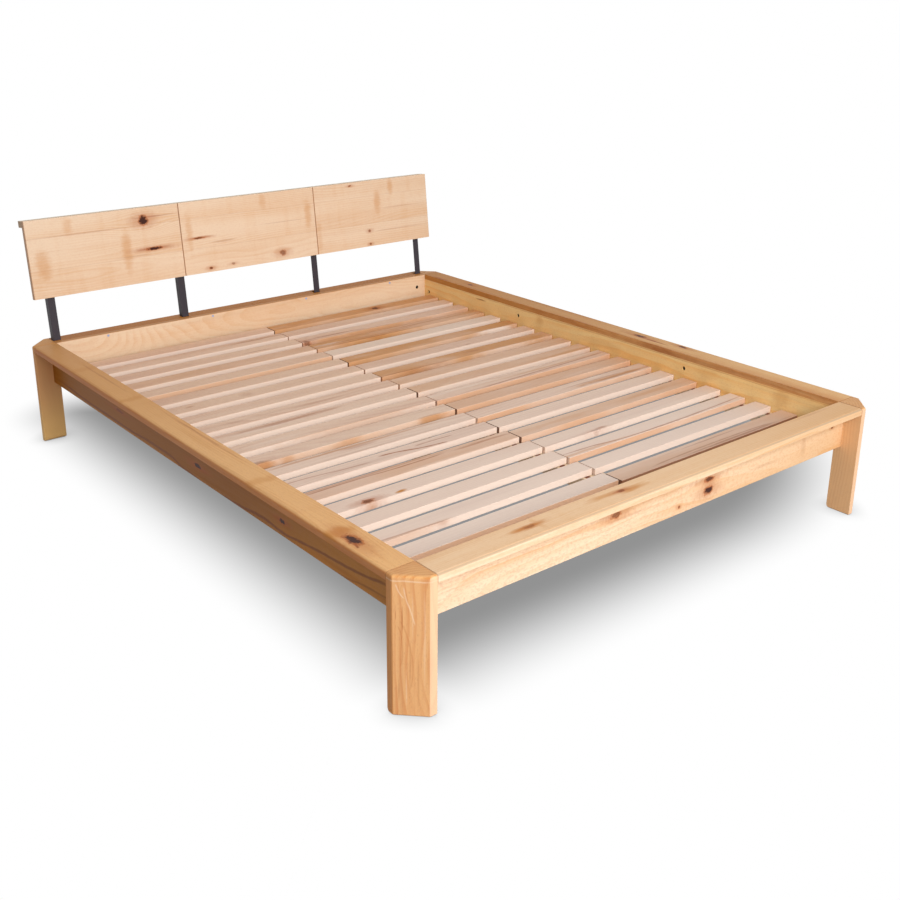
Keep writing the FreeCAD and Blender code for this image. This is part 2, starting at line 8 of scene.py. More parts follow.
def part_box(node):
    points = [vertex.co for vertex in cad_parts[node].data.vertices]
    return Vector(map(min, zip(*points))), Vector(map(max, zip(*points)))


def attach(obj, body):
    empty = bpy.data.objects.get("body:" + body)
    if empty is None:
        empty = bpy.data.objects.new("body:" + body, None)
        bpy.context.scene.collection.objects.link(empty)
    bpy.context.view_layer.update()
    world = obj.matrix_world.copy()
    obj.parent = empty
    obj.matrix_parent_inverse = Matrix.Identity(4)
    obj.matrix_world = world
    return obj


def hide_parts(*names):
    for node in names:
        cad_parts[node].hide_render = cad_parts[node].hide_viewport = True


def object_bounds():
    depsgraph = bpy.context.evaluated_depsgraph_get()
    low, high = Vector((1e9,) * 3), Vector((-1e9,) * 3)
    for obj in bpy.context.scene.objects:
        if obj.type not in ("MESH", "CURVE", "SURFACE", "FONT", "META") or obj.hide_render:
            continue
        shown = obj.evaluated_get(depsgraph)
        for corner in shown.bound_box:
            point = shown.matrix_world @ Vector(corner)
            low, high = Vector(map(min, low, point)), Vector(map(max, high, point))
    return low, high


bl_info = {
    "name": "Capped-rail double bed",
    "version": (1, 0, 0),
    "blender": (4, 5, 0),
    "location": "View3D > Sidebar > Bed",
    "description": "Dresses a double bed of solid wood with timber, steel and webbing finishes",
    "category": "Object",
}

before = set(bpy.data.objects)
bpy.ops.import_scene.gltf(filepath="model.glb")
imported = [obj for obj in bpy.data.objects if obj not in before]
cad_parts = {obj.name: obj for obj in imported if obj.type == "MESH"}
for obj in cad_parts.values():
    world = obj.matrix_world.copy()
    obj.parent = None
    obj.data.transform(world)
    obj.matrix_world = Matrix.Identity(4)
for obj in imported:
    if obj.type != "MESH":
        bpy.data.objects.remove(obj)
CAD_BOX = [list(corner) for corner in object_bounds()]

# The middle of the space between the head and foot boards on the floor, and the top of the rails
MIDDLE = Vector((0, (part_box("foot_board")[1].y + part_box("head_board")[0].y) / 2, 0))
RAIL_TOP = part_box("head_board")[1].z
SLATS = 20

SIDES = ("left", "right")
ENDS = ("front", "back")


def paint(red, green, blue):
    """A colour from a paint card, 0 to 255 a channel, as the light values that the shaders use."""
    channels = []
    for value in (red, green, blue):
        value = value / 255
        channels.append(value / 12.92 if value <= 0.04045 else ((value + 0.055) / 1.055) ** 2.4)
    return tuple(channels)


class Sheet:
    """Lays out and joins shader nodes on one node tree."""

    def __init__(self, tree):
        self.tree = tree
        self.count = 0

    def node(self, kind, **settings):
        """A new node of a kind, with its settings."""
        node = self.tree.nodes.new(kind)
        node.location = (180 * (self.count % 12), -240 * (self.count // 12))
        self.count += 1
        for name, value in settings.items():
            setattr(node, name, value)
        return node

    def put(self, socket, value):
        """Give a socket a link or a plain value."""
        if isinstance(value, bpy.types.NodeSocket):
            self.tree.links.new(value, socket)
        elif isinstance(value, tuple) and len(value) == 3 and socket.type == "RGBA":
            socket.default_value = (*value, 1)
        else:
            socket.default_value = value

    def math(self, operation, first, second=0.0, third=0.0):
        """What an operation makes of one, two or three numbers."""
        node = self.node("ShaderNodeMath", operation=operation)
        for socket, value in zip(node.inputs, (first, second, third)):
            self.put(socket, value)
        return node.outputs[0]

    def plus(self, first, second):
        """The sum of two numbers."""
        return self.math("ADD", first, second)

    def less(self, first, second):
        """The first number less the second."""
        return self.math("SUBTRACT", first, second)

    def times(self, first, second):
        """The product of two numbers."""
        return self.math("MULTIPLY", first, second)

    def over(self, first, second):
        """The first number divided by the second."""
        return self.math("DIVIDE", first, second)

    def scaled(self, value, factor, start):
        """A number times a factor, counted from a start."""
        return self.math("MULTIPLY_ADD", value, factor, start)

    def greater(self, first, second):
        """The greater of two numbers."""
        return self.math("MAXIMUM", first, second)

    def smaller(self, first, second):
        """The smaller of two numbers."""
        return self.math("MINIMUM", first, second)

    def vector(self, operation, first, second=(0.0, 0.0, 0.0)):
        """What an operation makes of one or two vectors."""
        node = self.node("ShaderNodeVectorMath", operation=operation)
        self.put(node.inputs[0], first)
        self.put(node.inputs[1], second)
        return node.outputs["Value"] if operation in ("LENGTH", "DISTANCE") else node.outputs[0]

    def split(self, vector):
        """The three numbers of a vector."""
        node = self.node("ShaderNodeSeparateXYZ")
        self.put(node.inputs[0], vector)
        return node.outputs

    def join(self, x, y, z):
        """A vector of three numbers."""
        node = self.node("ShaderNodeCombineXYZ")
        for socket, value in zip(node.inputs, (x, y, z)):
            self.put(socket, value)
        return node.outputs[0]

    def mix(self, share, first, second):
        """A blend of two colours."""
        node = self.node("ShaderNodeMix", data_type="RGBA")
        self.put(node.inputs[0], share)
        self.put(node.inputs[6], first)
        self.put(node.inputs[7], second)
        return node.outputs[2]

    def ease(self, value, low, high, first=0.0, last=1.0):
        """A number eased from one range to another."""
        node = self.node("ShaderNodeMapRange", interpolation_type="SMOOTHSTEP")
        for socket, number in zip(node.inputs, (value, low, high, first, last)):
            self.put(socket, number)
        return node.outputs[0]

    def cloud(self, place, stretch, detail=2.0, rough=0.5):
        """Smooth noise, stretched by a vector of repeats a metre."""
        node = self.node("ShaderNodeTexNoise")
        self.put(node.inputs["Vector"], self.vector("MULTIPLY", place, stretch))
        self.put(node.inputs["Scale"], 1.0)
        self.put(node.inputs["Detail"], detail)
        self.put(node.inputs["Roughness"], rough)
        return node.outputs

    def source(self, kind="Object"):
        """Where a point lies on the object, or its normal."""
        return self.node("ShaderNodeTexCoord").outputs[kind]

    def from_middle(self):
        """Where a point lies, seen from the bed's middle."""
        return self.vector("SUBTRACT", self.source(), MIDDLE)

    def bump(self, shader, height, strength, distance):
        """Raise a height on a shader's surface."""
        node = self.node("ShaderNodeBump")
        node.inputs["Strength"].default_value = strength
        node.inputs["Distance"].default_value = distance
        self.put(node.inputs["Height"], height)
        self.put(shader.inputs["Normal"], node.outputs[0])


def new_group(name, inputs, outputs):
    """An empty node group with named inputs and outputs, its sheet and its two ends."""
    tree = bpy.data.node_groups.new(name, "ShaderNodeTree")
    for label, kind, default in inputs:
        socket = tree.interface.new_socket(label, in_out="INPUT", socket_type=kind)
        if default is not None:
            socket.default_value = default
    for label, kind in outputs:
        tree.interface.new_socket(label, in_out="OUTPUT", socket_type=kind)
    sheet = Sheet(tree)
    return sheet, sheet.node("NodeGroupInput").outputs, sheet.node("NodeGroupOutput").inputs


NUMBER = "NodeSocketFloat"
PLACE = "NodeSocketVector"
COLOUR = "NodeSocketColor"


def timber_group():
    """Sawn wood: growth rings round a wandering heart, fibres, flecks, streaks and cross figure."""
    sheet, given, out = new_group(
        "Timber grain",
        [("Place", PLACE, None), ("Seed", NUMBER, 0.0), ("Ring Width", NUMBER, 0.006),
         ("Wander", NUMBER, 0.5), ("Streaks", NUMBER, 0.5), ("Flecks", NUMBER, 0.5),
         ("Figure", NUMBER, 0.5), ("Mottle", NUMBER, 0.2), ("Rings", NUMBER, 0.5),
         ("Pale", COLOUR, None), ("Warm", COLOUR, None), ("Dark", COLOUR, None)],
        [("Colour", COLOUR), ("Height", NUMBER), ("Dull", NUMBER)])
    seed = given["Seed"]
    shift = sheet.join(sheet.times(seed, 3.17), sheet.times(seed, 1.73), sheet.times(seed, 2.31))
    place = sheet.vector("ADD", given["Place"], shift)
    chance = sheet.node("ShaderNodeTexWhiteNoise", noise_dimensions="1D")
    sheet.put(chance.inputs["W"], seed)
    heart = sheet.split(chance.outputs["Color"])
    wander = sheet.split(sheet.cloud(place, (0.75, 2.2, 2.2), 2.0)["Color"])
    ripple = sheet.split(sheet.cloud(place, (6.0, 14.0, 14.0), 2.0)["Color"])
    across = sheet.split(given["Place"])
    # The heart lies up to 100 mm to either side of the board's middle and 30 to 130 mm behind it
    offsets = []
    for axis, reach, least in ((1, 0.20, -0.10), (2, 0.10, 0.03)):
        offset = sheet.scaled(heart[axis], reach, least)
        swing = sheet.times(sheet.times(sheet.less(wander[axis], 0.5), 0.16), given["Wander"])
        small = sheet.times(sheet.less(ripple[axis], 0.5), 0.007)
        offsets.append(sheet.plus(sheet.plus(across[axis], offset), sheet.plus(swing, small)))
    radius = sheet.vector("LENGTH", sheet.join(0.0, *offsets))
    turn = sheet.math("FRACT", sheet.over(radius, given["Ring Width"]))
    late = sheet.times(sheet.ease(turn, 0.25, 0.92), sheet.ease(turn, 0.93, 1.0, 1.0, 0.0))
    fade = sheet.cloud(place, (1.6, 20.0, 20.0), 2.0)["Fac"]
    late = sheet.times(late, sheet.ease(fade, 0.3, 0.7, 0.25, 1.0))
    fibre = sheet.cloud(place, (7.0, 420.0, 420.0), 3.0, 0.6)["Fac"]
    broad = sheet.cloud(place, (0.9, 11.0, 11.0), 2.0)["Fac"]
    fleck_cloud = sheet.cloud(place, (110.0, 800.0, 800.0), 1.0)["Fac"]
    fleck = sheet.times(sheet.ease(fleck_cloud, 0.60, 0.72), given["Flecks"])
    streak_cloud = sheet.cloud(place, (0.8, 24.0, 24.0), 3.0, 0.55)["Fac"]
    streak = sheet.times(sheet.ease(streak_cloud, 0.56, 0.78), given["Streaks"])
    figure_cloud = sheet.cloud(place, (30.0, 3.5, 9.0), 2.0)["Fac"]
    figure = sheet.times(sheet.ease(figure_cloud, 0.45, 0.75), given["Figure"])
    warmth = sheet.scaled(late, given["Rings"], sheet.scaled(broad, 2.2, -0.97))
    warmth = sheet.plus(warmth, sheet.scaled(fibre, 1.0, -0.45))
    warmth = sheet.scaled(figure, 0.22, warmth)
    colour = sheet.mix(sheet.smaller(sheet.greater(warmth, 0.0), 1.0), given["Pale"], given["Warm"])
    colour = sheet.mix(sheet.times(streak, 0.6), colour, given["Dark"])
    colour = sheet.mix(sheet.times(fleck, 0.38), colour, given["Dark"])
    mottle_cloud = sheet.cloud(place, (120.0, 170.0, 170.0), 1.0)["Fac"]
    mottle = sheet.times(sheet.ease(mottle_cloud, 0.46, 0.68), given["Mottle"])
    colour = sheet.mix(sheet.times(mottle, 0.28), colour, MOTTLE_PINK)
    sheet.put(out["Colour"], colour)
    height = sheet.scaled(fibre, 0.6, sheet.times(late, 0.25))
    sheet.put(out["Height"], sheet.scaled(fleck, -0.3, height))
    sheet.put(out["Dull"], sheet.scaled(fibre, 0.20, sheet.times(streak, 0.05)))
    return sheet.tree


def knot_group():
    """One knot: bends the grain round itself and adds to the masks of dark core and warm stain."""
    sheet, given, out = new_group(
        "Knot",
        [("Place", PLACE, None), ("Core", NUMBER, 0.0), ("Stain", NUMBER, 0.0), ("Centre", PLACE, None),
         ("Length", NUMBER, 0.012), ("Width", NUMBER, 0.008), ("Dark", NUMBER, 0.8)],
        [("Place", PLACE), ("Core", NUMBER), ("Stain", NUMBER)])
    ragged = sheet.cloud(given["Place"], (90.0, 90.0, 90.0), 2.0)["Color"]
    ragged = sheet.vector("MULTIPLY", sheet.vector("SUBTRACT", ragged, (0.5, 0.5, 0.5)), (1.1, 1.1, 0.0))
    apart = sheet.split(sheet.vector("SUBTRACT", given["Place"], given["Centre"]))
    long_part = sheet.over(apart[0], given["Length"])
    wide_part = sheet.over(apart[1], given["Width"])
    spread = sheet.vector("ADD", sheet.join(long_part, wide_part, 0.0), ragged)
    far = sheet.vector("LENGTH", spread)
    plain_far = sheet.vector("LENGTH", sheet.join(sheet.times(long_part, 0.45), wide_part, 0.0))
    pull = sheet.ease(plain_far, 0.6, 4.0, 0.75, 0.0)
    bent = sheet.times(sheet.times(apart[1], pull), -1.0)
    sheet.put(out["Place"], sheet.vector("ADD", given["Place"], sheet.join(0.0, bent, 0.0)))
    core = sheet.times(sheet.ease(far, 0.45, 0.9, 1.0, 0.0), given["Dark"])
    sheet.put(out["Core"], sheet.greater(given["Core"], core))
    rings = sheet.scaled(sheet.math("SINE", sheet.times(far, 15.0)), 0.14, 0.86)
    ring = sheet.times(sheet.ease(far, 0.75, 1.25, 1.0, 0.0), rings)
    halo_far = sheet.vector("LENGTH", sheet.vector("MULTIPLY", spread, (0.5, 0.85, 0.0)))
    halo = sheet.ease(halo_far, 0.5, 1.9, 0.4, 0.0)
    around = sheet.times(sheet.greater(ring, halo), sheet.ease(given["Dark"], 0.0, 0.6))
    sheet.put(out["Stain"], sheet.greater(given["Stain"], around))
    return sheet.tree


def band_group():
    """A soft patch of colour across or along a board, such as a stain, a streak or a cross band."""
    sheet, given, out = new_group(
        "Wood patch",
        [("Place", PLACE, None), ("Amount", NUMBER, 0.0), ("Centre", PLACE, None), ("Length", NUMBER, 0.05),
         ("Width", NUMBER, 0.01), ("Strength", NUMBER, 0.5)],
        [("Amount", NUMBER)])
    ragged = sheet.cloud(given["Place"], (14.0, 60.0, 60.0), 3.0, 0.6)["Color"]
    ragged = sheet.vector("MULTIPLY", sheet.vector("SUBTRACT", ragged, (0.5, 0.5, 0.5)), (1.3, 1.3, 0.0))
    apart = sheet.split(sheet.vector("SUBTRACT", given["Place"], given["Centre"]))
    spread = sheet.join(sheet.over(apart[0], given["Length"]),
                        sheet.over(apart[1], given["Width"]), 0.0)
    far = sheet.vector("LENGTH", sheet.vector("ADD", spread, ragged))
    patch = sheet.times(sheet.ease(far, 0.25, 1.15, 1.0, 0.0), given["Strength"])
    sheet.put(out["Amount"], sheet.greater(given["Amount"], patch))
    return sheet.tree


def glue_group():
    """The thin dark line of a glued joint between two staves."""
    sheet, given, out = new_group(
        "Glue line",
        [("Height", NUMBER, 0.0), ("Joint", NUMBER, 0.1), ("Width", NUMBER, 0.001), ("Amount", NUMBER, 0.0)],
        [("Amount", NUMBER)])
    apart = sheet.math("ABSOLUTE", sheet.less(given["Height"], given["Joint"]))
    line = sheet.ease(sheet.over(apart, given["Width"]), 0.4, 1.0, 1.0, 0.0)
    sheet.put(out["Amount"], sheet.greater(given["Amount"], line))
    return sheet.tree


def count_group():
    """Which piece of a row a point is on, and a number picked for that piece by chance."""
    sheet, given, out = new_group(
        "Piece in a row",
        [("Distance", NUMBER, 0.0), ("Step", NUMBER, 0.1), ("Seed", NUMBER, 0.0)],
        [("Number", NUMBER), ("Chance", NUMBER), ("Other Chance", NUMBER)])
    number = sheet.math("FLOOR", sheet.over(given["Distance"], given["Step"]))
    sheet.put(out["Number"], number)
    chance = sheet.node("ShaderNodeTexWhiteNoise", noise_dimensions="2D")
    sheet.put(chance.inputs["Vector"], sheet.join(number, given["Seed"], 0.0))
    sheet.put(out["Chance"], chance.outputs["Value"])
    sheet.put(out["Other Chance"], sheet.split(chance.outputs["Color"])[1])
    return sheet.tree


GROUP_MAKERS = {"timber": timber_group, "knot": knot_group, "patch": band_group, "row": count_group,
                "glue": glue_group}
GROUPS = {}


def group(sheet, name, **values):
    """Place a shared node group, made at its first use, and give its inputs their values."""
    if name not in GROUPS:
        GROUPS[name] = GROUP_MAKERS[name]()
    node = sheet.node("ShaderNodeGroup", node_tree=GROUPS[name])
    for label, value in values.items():
        sheet.put(node.inputs[label.replace("_", " ")], value)
    return node.outputs


def blank_sheet(holder):
    """The emptied sheet of a material or a world."""
    holder.use_nodes = True
    holder.node_tree.nodes.clear()
    return Sheet(holder.node_tree)


def set_out(name, data):
    """A new object in the scene."""
    item = bpy.data.objects.new(name, data)
    bpy.context.scene.collection.objects.link(item)
    return item


def new_material(name):
    """A material with an empty Principled shader, its sheet and that shader."""
    material = bpy.data.materials.new(name)
    sheet = blank_sheet(material)
    shader = sheet.node("ShaderNodeBsdfPrincipled")
    output = sheet.node("ShaderNodeOutputMaterial")
    sheet.put(output.inputs["Surface"], shader.outputs[0])
    return material, sheet, shader


def bed_place(sheet, along):
    """Where a point lies from the bed's middle, turned so that the grain runs along the first number."""
    x, y, z = sheet.split(sheet.from_middle())
    order = {"x across y": (x, y, z), "x across z": (x, z, y), "y across x": (y, x, z),
             "y across z": (y, z, x), "z across x": (z, x, y)}
    return sheet.join(*order[along])


def streaks(sheet, place, rows):
    """The mask of a set of streaks, each noted by its centre, half length, half width and strength."""
    amount = 0.0
    for along, across, length, width, strength in rows:
        amount = group(sheet, "patch", Place=place, Amount=amount, Centre=(along, across, 0.0),
                       Length=length, Width=width, Strength=strength)["Amount"]
    return amount


def bent_streak(sheet, place, line, width, strength):
    """The mask of a streak that follows a bent line, noted by points along and across the grain."""
    along, across = sheet.split(place)[:2]
    first, last = line[0][0], line[-1][0]
    low, high = min(point[1] for point in line), max(point[1] for point in line)
    spots = [((one - first) / (last - first), (other - low) / (high - low)) for one, other in line]
    share = sheet.over(sheet.less(along, first), last - first)
    bend = sheet.node("ShaderNodeFloatCurve")
    points = bend.mapping.curves[0].points
    for spot in spots[1:-1]:
        points.new(*spot)
    points[0].location = spots[0]
    points[len(spots) - 1].location = spots[-1]
    bend.mapping.update()
    sheet.put(bend.inputs["Value"], share)
    height = sheet.scaled(bend.outputs[0], high - low, low)
    ragged = sheet.scaled(sheet.cloud(place, (30.0, 60.0, 60.0), 2.0)["Fac"], 0.8, -0.4)
    apart = sheet.over(sheet.math("ABSOLUTE", sheet.less(across, height)), width)
    mask = sheet.ease(sheet.plus(apart, ragged), 0.2, 1.1, strength, 0.0)
    from_half = sheet.math("ABSOLUTE", sheet.less(share, 0.5))
    return sheet.times(mask, sheet.ease(from_half, 0.38, 0.5, 1.0, 0.0))


def finish_timber(sheet, shader, place, seed, tones, look, knots=(), patches=(), end_axis=None, veils=(),
                  washes=(), bends=()):
    """Wire timber with its knots, its straight and bent streaks and its veils of colour into a shader."""
    core, stain = 0.0, 0.0
    bent = place
    for along, across, length, width, dark in knots:
        outputs = group(sheet, "knot", Place=bent, Core=core, Stain=stain, Centre=(along, across, 0.0),
                        Length=length, Width=width, Dark=dark)
        bent, core, stain = outputs["Place"], outputs["Core"], outputs["Stain"]
    grain = group(sheet, "timber", Place=bent, Seed=seed, Pale=tones[0], Warm=tones[1], Dark=tones[2], **look)
    colour = grain["Colour"]
    for share, tint in veils:
        colour = sheet.mix(share, colour, tint)
    for tint, rows in washes:
        colour = sheet.mix(streaks(sheet, place, rows), colour, tint)
    if patches:
        colour = sheet.mix(streaks(sheet, place, patches), colour, STREAK_BROWN)
    for tint, line, width, strength in bends:
        colour = sheet.mix(bent_streak(sheet, place, line, width, strength), colour, tint)
    if knots:
        colour = sheet.mix(stain, colour, KNOT_ORANGE)
        colour = sheet.mix(core, colour, KNOT_BROWN)
    if end_axis is not None:
        end = face_share(sheet, end_axis, 0, 0.3)
        colour = sheet.mix(sheet.times(end, 0.6), colour, tones[2])
    sheet.put(shader.inputs["Base Color"], colour)
    sheet.put(shader.inputs["Roughness"], sheet.plus(grain["Dull"], 0.40))
    sheet.bump(shader, grain["Height"], 0.25, 0.0006)
    shader.inputs["Specular IOR Level"].default_value = 0.2


def face_share(sheet, axis, way, least=0.6):
    """A mask that is one on faces that look along an axis: forwards, backwards or, for way 0, both."""
    normal = sheet.split(sheet.source("Normal"))[axis]
    facing = sheet.math("ABSOLUTE", normal) if way == 0 else sheet.times(normal, float(way))
    return sheet.ease(facing, least, least + 0.35)


def veil(sheet, colour, strength, *shares):
    """A veil of colour that is as strong as the product of its shares."""
    for share in shares:
        strength = sheet.times(share, strength)
    return strength, colour


def above(sheet, height):
    """A mask that is one above a height."""
    return sheet.math("GREATER_THAN", sheet.split(sheet.source())[2], height)


def along_bed(sheet, axis, first, last):
    """A mask that grows from zero to one between two places along an axis, from the bed's middle."""
    return sheet.ease(sheet.split(sheet.from_middle())[axis], first, last)


KNOT_BROWN = paint(58, 20, 4)
KNOT_ORANGE = paint(176, 94, 40)
STREAK_BROWN = paint(158, 84, 36)
STREAK_PALE = paint(250, 222, 190)
BAND_TAN = paint(200, 132, 60)
# Painted shade: the brown in the seams where the legs meet the caps
SEAM_SHADE_BROWN = paint(112, 56, 34)
MOTTLE_PINK = paint(208, 146, 116)
LEFT_CAP_TONES = (paint(233, 181, 122), paint(213, 149, 88), paint(136, 80, 40))
# Painted shade: the left cap darkens towards the head, away from the lamps
LEFT_CAP_FAR_SHADE = paint(194, 134, 70)
# Painted shade: the left cap's outer side, which looks away from the lamps, is a darker orange
LEFT_CAP_SIDE_SHADE = paint(186, 92, 14)
RIGHT_CAP_TONES = (paint(234, 185, 126), paint(213, 150, 88), paint(140, 80, 38))
# Painted shade: the right cap darkens towards the head, away from the lamps
RIGHT_CAP_FAR_SHADE = paint(182, 112, 20)
FOOT_TONES = (paint(240, 212, 180), paint(224, 180, 136), paint(170, 114, 70))
# Painted shade: the foot cap's top and its rolled front edge are darker than its front, which faces the lamps
FOOT_TOP_SHADE = paint(230, 182, 128)
FOOT_ROLL_SHADE = paint(182, 154, 124)
# Painted shade: the foot rail darkens towards its right end, further from the lamps
FOOT_FAR_SHADE = paint(222, 166, 102)
# Partly painted shade: the left board's timber is browner to stand for the deep shade on the bed's left side
LEFT_BOARD_SHADED_TONES = (paint(194, 129, 54), paint(166, 94, 30), paint(96, 46, 20))
LEFT_BOARD_LOW = paint(198, 122, 26)
# Painted shade: the left board darkens towards the head
LEFT_BOARD_FAR_SHADE = paint(154, 91, 12)
WAVE_BROWN = paint(112, 52, 14)
# Partly painted light: the right board's timber is paler to lift its inner side, which gets too little lamp light
RIGHT_BOARD_LIT_TONES = (paint(255, 222, 158), paint(250, 196, 120), paint(176, 108, 50))
# Partly painted shade: the head cap's timber is darker to stand for the weaker light at the head end
HEAD_CAP_SHADED_TONES = (paint(186, 116, 34), paint(156, 90, 24), paint(106, 56, 20))
HEAD_TONES = (paint(235, 207, 175), paint(226, 186, 146), paint(186, 132, 88))
PANEL_TONES = (paint(234, 206, 177), paint(224, 184, 146), paint(194, 136, 94))
SLAT_TONES = (paint(238, 207, 184), paint(220, 178, 152), paint(166, 112, 80))
SLAT_TAN_PALE = paint(234, 200, 172)
# Painted light on the slats' front edges, which face the lamps; the same pale colour also marks pale streaks
SLAT_PALE_AND_LIT_FRONT = paint(246, 225, 209)
# Painted light: slats are paler towards the foot, nearer the lamps
SLAT_FOOT_LIGHT = paint(243, 226, 214)
SLAT_TAN = paint(216, 166, 126)
SLAT_FAIR = paint(248, 232, 216)
SLAT_BROWN = paint(204, 140, 76)
SLAT_WARM = paint(216, 158, 104)
# Painted shade: darkened end grain of some slats, standing for the shade in the joint between the two mats
SLAT_END_SHADE = paint(110, 64, 38)
LEG_TONES = (paint(230, 174, 112), paint(210, 138, 74), paint(146, 82, 40))
# Painted light: the legs' front faces, which face the lamps, are paler
LEG_LIT_FRONT = paint(241, 200, 165)
# Painted shade: the outer sides of the left legs, away from the lamps, are a darker orange
LEG_SHADED_SIDE = paint(216, 142, 82)
LEG_OLIVE = paint(216, 150, 78)
LEG_FOOT = paint(252, 206, 132)
# Painted shade: the tops of the legs are darker
LEG_SHADED_TOP = paint(206, 158, 112)
# Painted light: the sides of the right legs that look across towards the lamps are paler
FAR_LEG_LIT_SIDE = paint(244, 202, 156)
# Partly painted light: the under frame's timber is kept very pale to lift the shade under the slats
UNDER_LIFTED_TONES = (paint(244, 224, 194), paint(226, 194, 154), paint(160, 112, 72))

CALM = {"Ring_Width": 0.007, "Wander": 0.6, "Streaks": 0.35, "Flecks": 0.5, "Figure": 0.35, "Mottle": 0.3,
        "Rings": 0.55}


def look(**changes):
    """The calm board look with some values changed."""
    return {**CALM, **changes}


def dress(node, material):
    """Give a part of the frame its finish."""
    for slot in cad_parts[node].material_slots:
        slot.material = material


def board(name, along, seed, tones, knots=(), patches=(), end_axis=None, veils=(), washes=(), bends=(),
          **changes):
    """Dress one board in timber of its own; each veil is a colour, a strength and its masks."""
    material, sheet, shader = new_material(name)
    place = bed_place(sheet, along)
    over = []
    for colour, strength, *masks in veils:
        over.append(veil(sheet, colour, strength, *[mask(sheet, *values) for mask, *values in masks]))
    finish_timber(sheet, shader, place, seed, tones, look(**changes), knots, patches, end_axis, over, washes,
                  bends)
    dress(name, material)


def millimetres(rows):
    """Knots and streaks noted in millimetres, turned into metres.

    Each row holds its centre along and across the grain, its half length, its half width and its strength,
    which stays as it is.
    """
    return [tuple(value / 1000 for value in row[:-1]) + (row[-1],) for row in rows]


def path(*points):
    """The points of a bent streak, along and across the grain, turned from millimetres into metres."""
    return [(along / 1000, across / 1000) for along, across in points]


class BedStage(bpy.types.PropertyGroup):
    """Where the camera stands, how the studio is lit and how deep the floor's painted shadow is."""

    camera_place: bpy.props.FloatVectorProperty(
        name="Camera place", description="Where the camera stands, from the bed's middle on the floor",
        default=(-2.1377, -2.7325, 1.5116), subtype="TRANSLATION", unit="LENGTH")
    camera_yaw: bpy.props.FloatProperty(
        name="Camera yaw", description="Turn of the camera from the bed's length",
        default=math.radians(39.55), subtype="ANGLE")
    camera_pitch: bpy.props.FloatProperty(
        name="Camera pitch", description="How far the camera looks down", default=math.radians(19.281),
        subtype="ANGLE")
    camera_roll: bpy.props.FloatProperty(
        name="Camera roll", description="Lean of the camera", default=math.radians(0.467), subtype="ANGLE")
    lens: bpy.props.FloatProperty(
        name="Lens", description="Focal length for a 36 mm frame", default=45.73, unit="CAMERA")
    rise: bpy.props.FloatProperty(
        name="Lens rise", description="Upward shift of the lens, as a share of the frame", default=-0.073)
    sun_power: bpy.props.FloatProperty(
        name="Low sun", description="Strength of the low broad light from the foot", default=1.2)
    box_power: bpy.props.FloatProperty(
        name="Soft box", description="Power of the soft box in front of the foot", default=72.0, unit="POWER")
    fill: bpy.props.FloatProperty(
        name="Fill", description="Brightness of the studio's walls on the bed", default=0.40)
    shadow_depth: bpy.props.FloatProperty(
        name="Shadow depth", description="Brightness of the floor under the middle of the bed", default=0.29)
    shadow_inset: bpy.props.FloatProperty(
        name="Shadow inset", description="How far inside the bed's outline the shadow is deepest",
        default=0.29, unit="LENGTH")
    shadow_fade: bpy.props.FloatProperty(
        name="Shadow fade", description="How far outside the bed's outline the shadow ends", default=0.077,
        unit="LENGTH")


class BedTimber(bpy.types.PropertyGroup):
    """Colours of the oiled wood."""

    cap_pale: bpy.props.FloatVectorProperty(
        name="Cap, pale", description="Early wood of the right cap", default=RIGHT_CAP_TONES[0],
        subtype="COLOR")
    cap_warm: bpy.props.FloatVectorProperty(
        name="Cap, warm", description="Late wood of the right cap", default=RIGHT_CAP_TONES[1],
        subtype="COLOR")
    slat_pale: bpy.props.FloatVectorProperty(
        name="Slat, pale", description="Early wood of the slats", default=SLAT_TONES[0], subtype="COLOR")
    slat_warm: bpy.props.FloatVectorProperty(
        name="Slat, warm", description="Late wood of the slats", default=SLAT_TONES[1], subtype="COLOR")


